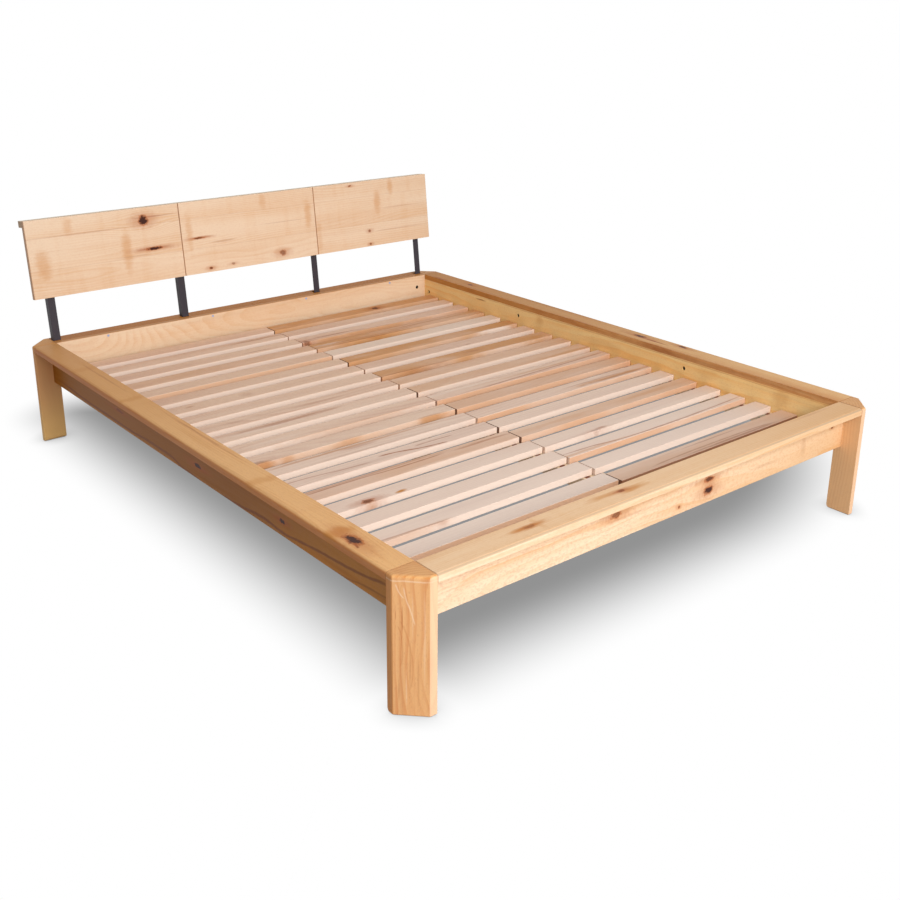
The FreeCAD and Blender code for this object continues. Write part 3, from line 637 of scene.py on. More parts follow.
class BED_OT_legs(bpy.types.Operator):
    """Dress the corner legs and the centre leg in warm wood that stands upright"""

    bl_idname = "bed.legs"
    bl_label = "Legs"

    near_streaks = millimetres([
        (238, -862, 40, 1.0, 0.7), (252, -872, 14, 0.8, 0.5), (130, -850, 60, 2.0, 0.25),
        (90, -838, 70, 2.0, 0.25), (60, -868, 40, 2.0, 0.25)])
    near_bends = [(STREAK_PALE, path((290, -858), (304, -866), (326, -872)), 0.0018, 0.4),
                  (STREAK_PALE, path((225, -842), (266, -850), (290, -856), (322, -860)), 0.0018, 0.4),
                  (KNOT_ORANGE, path((60, -852), (120, -846), (170, -850), (240, -866)), 0.0018, 0.25),
                  (KNOT_ORANGE, path((120, -872), (160, -862), (230, -872)), 0.0016, 0.25)]
    # Pale washes on the near leg: thin upright pale lines on its faces, and a painted highlight along the top
    # edge under the roll
    near_pale_lines_and_highlight = millimetres([
        (180, -828, 150, 2.2, 0.2), (250, -846, 70, 1.6, 0.2), (70, -856, 55, 1.6, 0.25),
        (332, -852, 2.6, 60, 0.4)])
    seam_depth = 0.015

    def execute(self, context):
        number = 0
        for end in ENDS:
            for side in SIDES:
                number += 1
                name = "leg_%s_%s" % (end, side)
                inward = 1 if side == "left" else -1
                forward = 1 if end == "front" else -1
                seam = RAIL_TOP - self.seam_depth
                # Painted light and shade: front faces paler, tops darker, and the faces looking across darker on
                # the left legs and paler on the right legs
                veils = [(LEG_LIT_FRONT, 0.75, (face_share, 1, -1)), (LEG_SHADED_TOP, 0.4, (face_share, 2, 1)),
                         (LEG_SHADED_SIDE if side == "left" else FAR_LEG_LIT_SIDE, 0.6, (face_share, 0, -1)),
                         # Painted shade in the seams where the leg meets the caps
                         (SEAM_SHADE_BROWN, 0.7, (face_share, 0, inward, 0.3), (above, seam)),
                         (SEAM_SHADE_BROWN, 0.7, (face_share, 1, forward, 0.3), (above, seam))]
                figure = {}
                if name == "leg_front_left":
                    figure = {"patches": self.near_streaks, "washes": [(STREAK_PALE, self.near_pale_lines_and_highlight)],
                              "bends": self.near_bends}
                if name == "leg_back_left":
                    veils += [(LEG_OLIVE, 0.6), (LEG_FOOT, 0.8, (along_bed, 2, 0.22, 0.0))]
                board(name, "z across x", 3.0 + 1.7 * number, LEG_TONES, veils=veils, **figure,
                      Ring_Width=0.009, Wander=2.6, Streaks=0.5, Flecks=0.9, Rings=1.0)
        board("centre_leg", "z across x", 11.3, UNDER_LIFTED_TONES, end_axis=2)
        return {"FINISHED"}


class BED_OT_side_rails(bpy.types.Operator):
    """Dress the side caps and side boards"""

    bl_idname = "bed.side_rails"
    bl_label = "Side rails"

    def execute(self, context):
        colours = context.scene.bed_timber
        right_tones = (tuple(colours.cap_pale), tuple(colours.cap_warm), RIGHT_CAP_TONES[2])
        knots = millimetres([(-838, -848, 36, 18, 1.0)])
        patches = millimetres([
            (-60, -815, 260, 5, 0.4), (560, -824, 200, 4, 0.35), (-840, -850, 44, 18, 0.45)])
        washes = [(BAND_TAN, millimetres([
            (-785, -850, 30, 60, 0.75), (670, -839, 24, 90, 0.3), (320, -839, 20, 90, 0.4),
            (-430, -839, 24, 90, 0.4), (-100, -839, 160, 14, 0.2)]))]
        bends = [(WAVE_BROWN, path((-880, -862), (-856, -856), (-836, -848), (-812, -838)), 0.005, 0.9)]
        # Painted shade: darker towards the head and on the outer side
        veils = [(LEFT_CAP_FAR_SHADE, 0.6, (along_bed, 1, -0.3, 1.0)), (LEFT_CAP_SIDE_SHADE, 0.6, (face_share, 0, -1))]
        board("left_side_cap", "y across x", 1.4, LEFT_CAP_TONES, knots, patches, 1, veils, washes, bends,
              Figure=0.8, Streaks=0.6)
        knots = millimetres([(744, 839, 16, 9, 0.8), (-178, 840, 34, 12, 0.9), (-354, 854, 22, 9, 0.85)])
        patches = millimetres([
            (-100, 802, 1500, 2.6, 0.5), (896, 806, 70, 6, 1.0), (-320, 790, 170, 16, 0.8),
            (-240, 832, 70, 6, 1.0), (-600, 792, 240, 7, 0.6), (640, 812, 200, 3, 0.4),
            (200, 866, 320, 4, 0.3), (-640, 803, 160, 3.2, 0.5), (80, 804, 120, 4, 0.6)])
        # Painted shade: darker towards the head
        veils = [(RIGHT_CAP_FAR_SHADE, 0.7, (along_bed, 1, -0.8, 0.9))]
        board("right_side_cap", "y across x", 2.9, right_tones, knots, patches, 1, veils, Figure=0.6, Streaks=0.6)
        knots = millimetres([(-45, 248, 30, 9, 1.0), (-489, 249, 20, 8, 1.0), (460, 261, 40, 7, 0.4)])
        patches = millimetres([(-50, 245, 70, 8, 0.6), (-487, 250, 50, 8, 0.6), (460, 261, 70, 7, 0.5)])
        washes = [(LEFT_BOARD_LOW, millimetres([
            (-700, 216, 320, 20, 0.5), (-240, 202, 260, 12, 0.5), (330, 206, 700, 12, 0.5)]))]
        bends = [(WAVE_BROWN, path((-990, 266), (-906, 259), (-849, 249), (-783, 242), (-643, 232),
                                   (-568, 225), (-483, 218), (-411, 223), (-283, 213), (-100, 202)),
                  0.006, 0.7),
                 (WAVE_BROWN, path((-340, 217), (-147, 202), (-14, 210), (67, 213), (127, 224), (257, 224),
                                   (396, 218), (568, 219), (700, 219), (884, 226), (1000, 228)), 0.006, 0.65),
                 (WAVE_BROWN, path((-990, 276), (-907, 278), (-817, 282), (-650, 287)), 0.005, 0.55),
                 (WAVE_BROWN, path((-960, 230), (-840, 222), (-760, 210), (-640, 204)), 0.004, 0.4)]
        # Painted shade: darker towards the head
        veils = [(LEFT_BOARD_FAR_SHADE, 0.9, (along_bed, 1, -0.9, -0.2))]
        board("left_side_board", "y across z", 4.2, LEFT_BOARD_SHADED_TONES, knots, patches, None, veils, washes,
              bends, Streaks=0.7)
        patches = millimetres([(635, 312, 30, 4, 0.7), (-100, 322, 1300, 3, 0.35)])
        washes = [(BAND_TAN, millimetres([
            (-800, 296, 40, 40, 0.3), (290, 300, 26, 30, 0.3), (-520, 300, 60, 30, 0.2),
            (-30, 290, 120, 20, 0.2)]))]
        board("right_side_board", "y across z", 5.6, RIGHT_BOARD_LIT_TONES, (), patches, washes=washes,
              Streaks=0.5)
        return {"FINISHED"}


class BED_OT_foot_rail(bpy.types.Operator):
    """Dress the foot cap and the foot board"""

    bl_idname = "bed.foot_rail"
    bl_label = "Foot rail"

    board_streaks = millimetres([
        (172, 262, 26, 34, 0.3), (140, 300, 120, 4, 0.3), (420, 250, 90, 6, 0.2), (600, 268, 14, 60, 0.2),
        (-120, 262, 120, 5, 0.25)])

    def execute(self, context):
        knots = millimetres([(-497, -1032, 24, 8, 0.32), (-186, -1029, 16, 7, 0.45)])
        patches = millimetres([(-186, -1029, 30, 8, 0.5), (640, -1010, 120, 5, 0.25)])
        washes = [(BAND_TAN, millimetres([
            (-497, -1032, 60, 12, 0.9), (-150, -1036, 60, 16, 0.8), (-240, -1026, 80, 12, 0.6),
            (-470, -1030, 12, 40, 0.3)]))]
        # Painted shade: the foot rail darker towards its right end, on the cap's top and on its rolled edge
        far = (FOOT_FAR_SHADE, 0.5, (along_bed, 0, -0.3, 0.9))
        veils = [(FOOT_TOP_SHADE, 0.4, (face_share, 2, 1)), far,
                 (FOOT_ROLL_SHADE, 0.8, (face_share, 2, 1, 0.25), (face_share, 1, -1, 0.25))]
        board("foot_cap", "x across y", 7.7, FOOT_TONES, knots, patches, 0, veils, washes, Figure=0.6)
        knots = millimetres([
            (-190, 279, 22, 12, 0.5), (172, 275, 22, 9, 0.8), (172, 245, 22, 19, 1.0),
            (54, 232, 5, 4, 0.5), (742, 283, 6, 5, 0.6)])
        board("foot_board", "x across z", 8.3, FOOT_TONES, knots, self.board_streaks, None, [far],
              Streaks=0.2, Flecks=0.6, Mottle=1.0)
        return {"FINISHED"}


class BED_OT_head_rail(bpy.types.Operator):
    """Dress the head board and the cap behind it"""

    bl_idname = "bed.head_rail"
    bl_label = "Head rail"

    def execute(self, context):
        # Painted shade: the head board's top takes the head cap's darker tone
        veils = [(HEAD_CAP_SHADED_TONES[0], 0.8, (face_share, 2, 1, 0.3))]
        board("head_board", "x across z", 9.1, HEAD_TONES, veils=veils, Ring_Width=0.005, Wander=1.6,
              Streaks=0.3)
        board("head_cap", "x across y", 10.4, HEAD_CAP_SHADED_TONES, end_axis=0, Streaks=0.3)
        return {"FINISHED"}


class BED_OT_headboard(bpy.types.Operator):
    """Dress the three leaning panels, each glued up from three staves, and the batten behind them"""

    bl_idname = "bed.headboard"
    bl_label = "Headboard"

    lean = math.radians(6.5)
    joints = (0.094, 0.205)
    joint_width = 0.0011

    def execute(self, context):
        knots = {
            "left": millimetres([(-427, 221, 21, 19, 1.0), (-399, 118, 36, 7, 1.0)]),
            "middle": millimetres([
                (-221, 132, 26, 4, 0.7), (-184, 16, 9, 6, 0.7), (127, 32, 16, 13, 0.45),
                (-90, 20, 9, 5, 0.35)]),
            "right": millimetres([(542, 65, 8, 6, 0.45), (542, 11, 7, 5, 0.5), (462, 254, 8, 4, 0.5)])}
        patches = {
            "left": millimetres([
                (-399, 118, 70, 8, 0.6), (-390, 232, 90, 4, 0.5), (-640, 204, 240, 3, 0.3),
                (-470, 100, 90, 3, 0.25)]),
            "middle": millimetres([
                (-215, 134, 50, 5, 0.5), (-120, 110, 60, 5, 0.3), (150, 150, 140, 3, 0.2)]),
            "right": millimetres([(700, 60, 160, 4, 0.25), (700, 150, 120, 4, 0.2)])}
        bands = {
            "left": millimetres([
                (-800, 110, 30, 70, 0.42), (-500, 120, 24, 90, 0.40), (-700, 235, 20, 40, 0.3)]),
            "middle": millimetres([
                (255, 165, 18, 70, 0.35), (60, 236, 18, 40, 0.3), (-255, 150, 16, 90, 0.3)]),
            "right": millimetres([(590, 180, 20, 60, 0.4), (660, 236, 18, 40, 0.4), (300, 60, 16, 80, 0.25)])}
        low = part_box("headboard_panel_middle")[0]
        for number, name in enumerate(("left", "middle", "right")):
            material, sheet, shader = new_material("headboard_panel_" + name)
            upright = sheet.node("ShaderNodeVectorRotate", rotation_type="X_AXIS")
            upright.inputs["Center"].default_value = (0.0, low.y, low.z)
            upright.inputs["Angle"].default_value = self.lean
            sheet.put(upright.inputs["Vector"], sheet.source())
            x, y, z = sheet.split(upright.outputs[0])
            up = sheet.less(z, low.z)
            place = sheet.join(x, up, sheet.less(y, low.y))
            line, stave = 0.0, 0.0
            for joint in self.joints:
                line = group(sheet, "glue", Height=up, Joint=joint, Width=self.joint_width,
                             Amount=line)["Amount"]
                stave = sheet.plus(sheet.math("GREATER_THAN", up, joint), stave)
            seed = sheet.scaled(stave, 2.37, 12.0 + 5.1 * number)
            veils = [(sheet.times(line, 0.18), STREAK_BROWN)]
            plain = look(Figure=1.0, Wander=0.8, Streaks=0.15, Flecks=0.3)
            finish_timber(sheet, shader, place, seed, PANEL_TONES, plain, knots[name], patches[name], 0,
                          veils, [(BAND_TAN, bands[name])])
            dress("headboard_panel_" + name, material)
        board("headboard_batten", "x across y", 31.0, UNDER_LIFTED_TONES, end_axis=0)
        return {"FINISHED"}


class BED_OT_slats(bpy.types.Operator):
    """Dress the slats of both mats, each slat with its own tone and grain"""

    bl_idname = "bed.slats"
    bl_label = "Slats"

    # Slats are counted from the head, and each tone lists the slats that have it
    width = 0.060
    # Rows whose slat ends are darkened as painted shade in the joint between the two mats
    shaded_joint_rows = (0, 5, 9, 11, 13, 14, 18)
    kinds = ("tan", "brown", "fair", "bright edge", "warm edge", "shadowed edge")
    left = {
        "tan": (3, 14), "brown": (), "fair": (), "bright edge": (4, 11, 18), "warm edge": (), "shadowed edge": (),
        "edge tones": (paint(232, 186, 150), paint(222, 166, 116)),
        "knots": millimetres([(-605, -550, 22, 12, 0.6), (-700, -160, 40, 10, 0.2)]),
        "tan streaks": millimetres([
            (-690, -172, 46, 16, 0.7), (-610, -174, 30, 12, 0.4), (-400, -174, 60, 14, 0.35),
            (-95, -174, 60, 14, 0.6), (-455, -221, 400, 8, 0.4), (-605, -554, 26, 14, 0.5),
            (-498, -553, 22, 8, 1.0), (-640, -757, 150, 9, 0.3), (-300, -74, 300, 6, 0.3)]),
        "bends": [(path((-420, -330), (-378, -332), (-325, -341), (-272, -354), (-180, -363)), 0.005, 0.8),
                  (path((-290, -333), (-215, -330), (-140, -336)), 0.004, 0.5),
                  (path((-740, -329), (-640, -332), (-540, -343), (-440, -349)), 0.004, 0.45),
                  (path((-740, -424), (-560, -421), (-400, -426), (-230, -418)), 0.004, 0.6),
                  (path((-790, -746), (-640, -752), (-500, -759)), 0.004, 0.4)],
        "streaks": millimetres([
            (-455, -221, 400, 8, 0.25), (-410, -232, 80, 9, 0.35), (-520, -413, 360, 7, 0.4),
            (-120, -425, 160, 7, 0.5), (-120, 850, 150, 10, 0.45), (-180, 726, 90, 4, 0.5),
            (-600, 152, 50, 9, 0.2), (-440, 350, 30, 20, 0.2), (-640, 355, 20, 9, 0.35),
            (-600, 108, 120, 12, 0.25), (-300, 148, 120, 9, 0.2), (-470, 68, 240, 14, 0.5)]),
        "pale": millimetres([(-560, 56, 150, 14, 0.3), (-600, -48, 120, 14, 0.3), (-300, -462, 160, 8, 0.3)])}
    right = {
        "tan": (8, 9, 11, 14, 18), "brown": (0, 3, 5, 7), "fair": (4,),
        "bright edge": (2, 10, 11, 12, 14, 16), "warm edge": (0, 3, 5, 7), "shadowed edge": (18,),
        "edge tones": (paint(228, 178, 140), paint(150, 92, 50)),
        "bends": [(path((-40, -642), (100, -646), (180, -656), (270, -663), (400, -664), (600, -659),
                        (830, -646)), 0.004, 0.6),
                  (path((180, -74), (320, -67), (500, -60), (650, -55), (830, -46)), 0.005, 0.55),
                  (path((-20, 650), (140, 634), (300, 632), (480, 640)), 0.004, 0.4),
                  (path((120, -858), (400, -848), (700, -862)), 0.004, 0.45),
                  (path((60, 742), (180, 734), (300, 722)), 0.004, 0.4)],
        "tan streaks": millimetres([
            (520, -46, 330, 8, 0.4), (620, -256, 260, 12, 0.6), (700, 30, 160, 14, 0.4),
            (100, -658, 200, 9, 0.4), (240, 616, 260, 12, 0.5), (200, -443, 200, 14, 0.3),
            (600, -440, 200, 14, 0.3), (300, 711, 300, 10, 0.5), (430, 711, 120, 9, 0.3),
            (110, 711, 110, 10, 0.4)]),
        "knots": millimetres([(492, 934, 22, 17, 0.9), (20, 712, 16, 20, 0.4), (210, -566, 26, 7, 0.25)]),
        "streaks": millimetres([
            (120, 730, 160, 7, 0.5), (520, 650, 260, 6, 0.45), (240, 616, 200, 6, 0.5),
            (430, 252, 60, 14, 0.3), (150, 221, 200, 8, 0.4), (640, -262, 220, 8, 0.4),
            (560, -244, 180, 4, 0.4), (500, -860, 300, 6, 0.5), (420, -822, 200, 4, 0.4),
            (240, -562, 26, 9, 0.5), (470, 324, 16, 6, 0.5)]),
        "pale": millimetres([
            (215, -571, 30, 9, 0.9), (690, 414, 120, 10, 0.9), (560, -226, 60, 8, 0.4),
            (560, 217, 180, 8, 0.5), (90, -34, 200, 12, 0.4), (60, 640, 90, 12, 0.5)])}

    def execute(self, context):
        colours = context.scene.bed_timber
        for side, row_seed in (("left", 3.0), ("right", 8.0)):
            rows = getattr(self, side)
            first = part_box(side + "_mat_slats_01_02")[1].y - MIDDLE.y
            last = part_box("%s_mat_slats_%02d_%02d" % (side, SLATS - 1, SLATS))[0].y - MIDDLE.y
            pitch = (first - last - self.width) / (SLATS - 1)
            material, sheet, shader = new_material(side + "_slats")
            place = bed_place(sheet, "x across y")
            distance = sheet.less(first + (pitch - self.width) / 2, sheet.split(place)[1])
            row = group(sheet, "row", Distance=distance, Step=pitch, Seed=row_seed)
            seed = sheet.times(row["Other Chance"], 60.0)
            pale = sheet.mix(row["Chance"], tuple(colours.slat_pale), SLAT_TAN_PALE)
            tones = (pale, tuple(colours.slat_warm), SLAT_TONES[2])
            # Painted light: a share that grows towards the foot, nearer the lamps
            foot_light_share = along_bed(sheet, 1, 0.3, -1.0)
            uneven = sheet.ease(sheet.cloud(place, (3.0, 12.0, 1.0), 2.0)["Fac"], 0.35, 0.6, 0.55, 1.0)
            edge = face_share(sheet, 1, -1)
            across = face_share(sheet, 0, -1)
            bright, deep = rows["edge tones"]
            on = {name: self.chosen(sheet, row["Number"], rows[name]) for name in self.kinds}
            shaded_ends = self.chosen(sheet, row["Number"], self.shaded_joint_rows)
            # Painted light and shade: slats paler towards the foot, front edges paler where they face the lamps,
            # and darker ends and edges where shade falls
            veils = [veil(sheet, SLAT_FOOT_LIGHT, 0.65, foot_light_share),
                     veil(sheet, SLAT_TAN, 0.6, uneven, on["tan"]),
                     veil(sheet, SLAT_BROWN, 0.85, uneven, on["brown"]),
                     veil(sheet, SLAT_FAIR, 0.5, on["fair"]),
                     veil(sheet, SLAT_PALE_AND_LIT_FRONT, 0.75, edge),
                     veil(sheet, bright, 0.95, edge, uneven, on["bright edge"]),
                     veil(sheet, SLAT_WARM, 0.9, edge, uneven, on["warm edge"]),
                     # Painted shadow: the front edge of the slat by the foot rail is darkened where the rail's
                     # shadow falls
                     veil(sheet, deep, 0.9, edge, on["shadowed edge"]),
                     veil(sheet, SLAT_END_SHADE, 0.8, across, shaded_ends)]
            washes = [(SLAT_PALE_AND_LIT_FRONT, rows["pale"]), (BAND_TAN, rows["tan streaks"])]
            bends = [(STREAK_BROWN, *bend) for bend in rows["bends"]]
            ringed = look(Streaks=0.55, Flecks=0.5, Wander=0.9, Rings=0.7)
            finish_timber(sheet, shader, place, seed, tones, ringed, rows["knots"], rows["streaks"], None,
                          veils, washes, bends)
            for number in range(1, SLATS, 2):
                dress("%s_mat_slats_%02d_%02d" % (side, number, number + 1), material)
        return {"FINISHED"}

    def chosen(self, sheet, number, slats):
        """A mask that is one on the chosen slats of a row, and zero on the others."""
        if not slats:
            return 0.0
        ramp = sheet.node("ShaderNodeValToRGB")
        ramp.color_ramp.interpolation = "CONSTANT"
        sheet.put(ramp.inputs[0], sheet.over(sheet.plus(number, 0.5), float(SLATS)))
        tones = [(1, 1, 1, 1) if slat in slats else (0, 0, 0, 1) for slat in range(SLATS)]
        stops = ramp.color_ramp.elements
        stops.remove(stops[1])
        stops[0].color = tones[0]
        for slat in range(1, SLATS):
            if tones[slat] != tones[slat - 1]:
                stops.new(slat / SLATS).color = tones[slat]
        return ramp.outputs[0]


class BED_OT_tapes(bpy.types.Operator):
    """Dress the woven tapes that hold each mat together"""

    bl_idname = "bed.tapes"
    bl_label = "Tapes"

    warp_threads = 5200.0
    weft_threads = 2600.0

    def execute(self, context):
        material, sheet, shader = new_material("tape_webbing")
        across, along = sheet.split(sheet.source())[:2]
        warp = sheet.math("SINE", sheet.times(across, self.warp_threads))
        weft = sheet.math("SINE", sheet.times(along, self.weft_threads))
        weave = sheet.times(warp, weft)
        tone = sheet.ease(weave, -1.0, 1.0)
        sheet.put(shader.inputs["Base Color"], sheet.mix(tone, paint(112, 62, 40), paint(156, 96, 66)))
        shader.inputs["Roughness"].default_value = 0.85
        sheet.bump(shader, weave, 0.6, 0.0004)
        for side in SIDES:
            for edge in ("inner", "outer"):
                dress("%s_mat_%s_tape" % (side, edge), material)
        return {"FINISHED"}


def black_steel():
    """Fine black powder coat over steel."""
    material, sheet, shader = new_material("post_steel")
    source = sheet.source()
    orange_peel = sheet.cloud(source, (900.0, 900.0, 900.0), 2.0)["Fac"]
    drift = sheet.cloud(source, (9.0, 9.0, 3.0), 3.0)["Fac"]
    sheet.put(shader.inputs["Base Color"], sheet.mix(drift, paint(40, 34, 40), paint(60, 54, 62)))
    sheet.put(shader.inputs["Roughness"], sheet.scaled(orange_peel, 0.25, 0.42))
    shader.inputs["Specular IOR Level"].default_value = 0.3
    sheet.bump(shader, orange_peel, 0.2, 0.0003)
    return material


def speckled(name, repeats, dark, light, rough, metal=0.0, gloss=0.5):
    """A metal or a coat with one fine speckle in its colour and in its roughness."""
    material, sheet, shader = new_material(name)
    speckle = sheet.cloud(sheet.source(), (repeats, repeats, repeats), 3.0)["Fac"]
    sheet.put(shader.inputs["Base Color"], sheet.mix(speckle, dark, light))
    sheet.put(shader.inputs["Roughness"], sheet.scaled(speckle, 0.3, rough))
    shader.inputs["Metallic"].default_value = metal
    shader.inputs["Specular IOR Level"].default_value = gloss
    return material


def bright_zinc():
    """Bluish bright zinc of the cross-head screws."""
    return speckled("bright_zinc", 260.0, paint(140, 156, 196), paint(190, 204, 236), 0.30, metal=0.15)


def zinc_steel():
    """Plain zinc of the fittings."""
    return speckled("zinc_steel", 260.0, paint(150, 150, 152), paint(198, 198, 196), 0.22, metal=1.0)


def black_screw_steel(name="black_screw_steel"):
    """Blackened steel of the pan-head screws and the barrel nuts."""
    return speckled(name, 320.0, paint(14, 10, 8), paint(28, 22, 18), 0.45, gloss=0.15)


class BED_OT_posts(bpy.types.Operator):
    """Dress the headboard's steel posts in black"""

    bl_idname = "bed.posts"
    bl_label = "Posts"

    def execute(self, context):
        steel = black_steel()
        for place in ("outer", "inner"):
            for side in SIDES:
                dress("headboard_post_%s_%s" % (place, side), steel)
        return {"FINISHED"}


class BED_OT_under_frame(bpy.types.Operator):
    """Dress the ledges, the beam and the dowels"""

    bl_idname = "bed.under_frame"
    bl_label = "Ledges and beam"

    def execute(self, context):
        for number, side in enumerate(SIDES):
            board(side + "_slat_ledge", "y across z", 40.0 + number, UNDER_LIFTED_TONES, end_axis=1)
        board("centre_beam", "y across x", 44.0, UNDER_LIFTED_TONES, end_axis=1)
        board("dowels", "x across y", 46.0, UNDER_LIFTED_TONES)
        return {"FINISHED"}


def loose_solids(node):
    """The corner points of each separate solid in a part's mesh."""
    shape = bmesh.new()
    shape.from_mesh(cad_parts[node].data)
    bmesh.ops.remove_doubles(shape, verts=shape.verts, dist=1e-6)
    left = set(shape.verts)
    solids = []
    for first in shape.verts:
        if first not in left:
            continue
        left.remove(first)
        found = [first]
        for corner in found:
            for edge in corner.link_edges:
                other = edge.other_vert(corner)
                if other in left:
                    left.remove(other)
                    found.append(other)
        solids.append([corner.co.copy() for corner in found])
    shape.free()
    return solids


AXIS_ROUNDS = 40


def screw_sizes(points):
    """A screw's head point, its direction from head to tip, its length and its head and shank radius.

    The direction is the long axis of the points, found by turning a first guess towards it in rounds.
    """
    middle = sum(points, Vector()) / len(points)
    axis = max((point - middle for point in points), key=lambda offset: offset.length).normalized()
    for turn in range(AXIS_ROUNDS):
        axis = sum((offset * offset.dot(axis) for offset in (point - middle for point in points)), Vector())
        axis.normalize()
    reach = [(point - middle).dot(axis) for point in points]
    radii = [((point - middle) - axis * far).length for point, far in zip(points, reach)]
    widest = max(radii)
    head = sum(far for far, radius in zip(reach, radii) if radius > 0.98 * widest)
    if head > 0:
        axis = -axis
        reach = [-far for far in reach]
    shank = min(radius for radius in radii if radius > 0.2 * widest)
    return middle + axis * min(reach), axis, max(reach) - min(reach), widest, shank


class BED_OT_screws(bpy.types.Operator):
    """Model the screws with cross recesses, rounded heads and pointed tips in place of the plain ones"""

    bl_idname = "bed.screws"
    bl_label = "Screws"

    corners = 12
    splits = 3
    around = corners * splits
    recess_depth = 0.45
    recess_half = 0.13
    recess_arm = 0.58
    recess_taper = 0.72
    rim = 0.12

    def execute(self, context):
        bright = bright_zinc()
        dark = black_screw_steel()
        self.make("cap_screws", "cross_head_cap_screws", True, bright, dark)
        self.make("batten_screws", "cross_head_batten_screws", True, bright, dark)
        self.make("post_screws", "pan_head_post_screws", False, dark, dark)
        self.make("panel_screws", "pan_head_panel_screws", False, dark, dark)
        return {"FINISHED"}

    def make(self, node, name, countersunk, main, sideways_shaded):
        """One piece with a detailed screw for each plain one; those across the bed get another finish."""
        shape = bmesh.new()
        for points in loose_solids(node):
            head, axis, length, wide, shank = screw_sizes(points)
            before = len(shape.faces)
            self.screw(shape, head, axis, length, wide, shank, countersunk)
            shape.faces.ensure_lookup_table()
            for face in shape.faces[before:]:
                # Screws across the bed take the second finish; their dark steel stands partly for painted shade
                # in their holes
                face.material_index = 1 if abs(axis.x) > 0.7 else 0
        bmesh.ops.recalc_face_normals(shape, faces=shape.faces)
        mesh = bpy.data.meshes.new(name)
        shape.to_mesh(mesh)
        shape.free()
        mesh.materials.append(main)
        mesh.materials.append(sideways_shaded)
        piece = set_out(name, mesh)
        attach(piece, "frame")
        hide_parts(node)

    def screw(self, shape, head, axis, length, wide, shank, countersunk):
        """A lathe-turned head and shank with a cross recess in the face of the head."""
        side = axis.orthogonal().normalized()
        other = axis.cross(side)

        def point(across, along, deep):
            return shape.verts.new(head + side * across + other * along + axis * deep)

        half = self.recess_half * wide
        arm = self.recess_arm * wide
        outline = [(arm, half), (half, half), (half, arm), (-half, arm), (-half, half), (-arm, half),
                   (-arm, -half), (-half, -half), (-half, -arm), (half, -arm), (half, -half), (arm, -half)]
        following = outline[1:] + outline[:1]
        taper = self.recess_taper
        top = [point(x, y, 0.0) for x, y in outline]
        floor = [point(taper * x, taper * y, self.recess_depth * wide) for x, y in outline]
        for now in range(self.corners):
            after = (now + 1) % self.corners
            shape.faces.new((top[now], top[after], floor[after], floor[now]))
        for cells in ((11, 0, 1, 10), (1, 2, 3, 4), (4, 5, 6, 7), (7, 8, 9, 10), (1, 4, 7, 10)):
            shape.faces.new([floor[cell] for cell in cells])
        if countersunk:
            profile = [(wide, 0.0), (wide, self.rim * wide), (shank, wide - shank + self.rim * wide)]
        else:
            profile = [(0.80 * wide, 0.0), (0.94 * wide, 0.10 * wide), (wide, 0.30 * wide),
                       (wide, 0.55 * wide), (shank, 0.55 * wide)]
        profile += [(shank, length - 1.6 * shank), (0.15 * shank, length)]
        angles = []
        for (x, y), (next_x, next_y) in zip(outline, following):
            start = math.atan2(y, x)
            sweep = (math.atan2(next_y, next_x) - start) % math.tau
            angles += [start + sweep * step / self.splits for step in range(self.splits)]
        circle = [(math.cos(angle), math.sin(angle)) for angle in angles]
        rings = [[point(radius * x, radius * y, deep) for x, y in circle] for radius, deep in profile]
        for now in range(self.corners):
            rim = [rings[0][(self.splits * now + step) % self.around] for step in range(self.splits + 1)]
            shape.faces.new((top[(now + 1) % self.corners], top[now], *rim))
        for first, second in zip(rings, rings[1:]):
            for now in range(self.around):
                after = (now + 1) % self.around
                face = shape.faces.new((first[now], first[after], second[after], second[now]))
                face.smooth = True
        shape.faces.new(rings[-1])


def bright_zinc():
    """Bluish bright zinc with a soft spangle."""
    material, sheet, shader = new_material("bright_zinc")
    source = sheet.node("ShaderNodeTexCoord").outputs["Object"]
    spangle = sheet.cloud(source, (260.0, 260.0, 260.0), 3.0)["Fac"]
    sheet.put(shader.inputs["Base Color"], sheet.mix(spangle, paint(140, 156, 196), paint(190, 204, 236)))
    sheet.put(shader.inputs["Roughness"], sheet.scaled(spangle, 0.3, 0.30))
    shader.inputs["Metallic"].default_value = 0.15
    return material


def black_screw_steel(name="black_screw_steel"):
    """Blackened steel of the pan-head screws and the barrel nuts."""
    material, sheet, shader = new_material(name)
    source = sheet.node("ShaderNodeTexCoord").outputs["Object"]
    scale = sheet.cloud(source, (320.0, 320.0, 320.0), 3.0)["Fac"]
    sheet.put(shader.inputs["Base Color"], sheet.mix(scale, paint(14, 10, 8), paint(28, 22, 18)))
    sheet.put(shader.inputs["Roughness"], sheet.scaled(scale, 0.3, 0.45))
    shader.inputs["Specular IOR Level"].default_value = 0.15
    return material


class BED_OT_fittings(bpy.types.Operator):
    """Dress the studs, ledge screws and beam hangers in zinc and the barrel nuts in black"""

    bl_idname = "bed.fittings"
    bl_label = "Zinc fittings"

    def execute(self, context):
        dress("barrel_nuts", black_screw_steel("black_nut_steel"))
        zinc = zinc_steel()
        for name in ("corner_studs", "cap_studs", "ledge_screws", "hanger_screws", "beam_hangers"):
            dress(name, zinc)
        return {"FINISHED"}


def seen_ray(sheet):
    """One for the rays that show the room to the eye, in steel or through glass, and zero for the others."""
    ray = sheet.node("ShaderNodeLightPath")
    seen = sheet.greater(ray.outputs["Is Camera Ray"], ray.outputs["Is Glossy Ray"])
    return sheet.greater(seen, ray.outputs["Is Transmission Ray"])


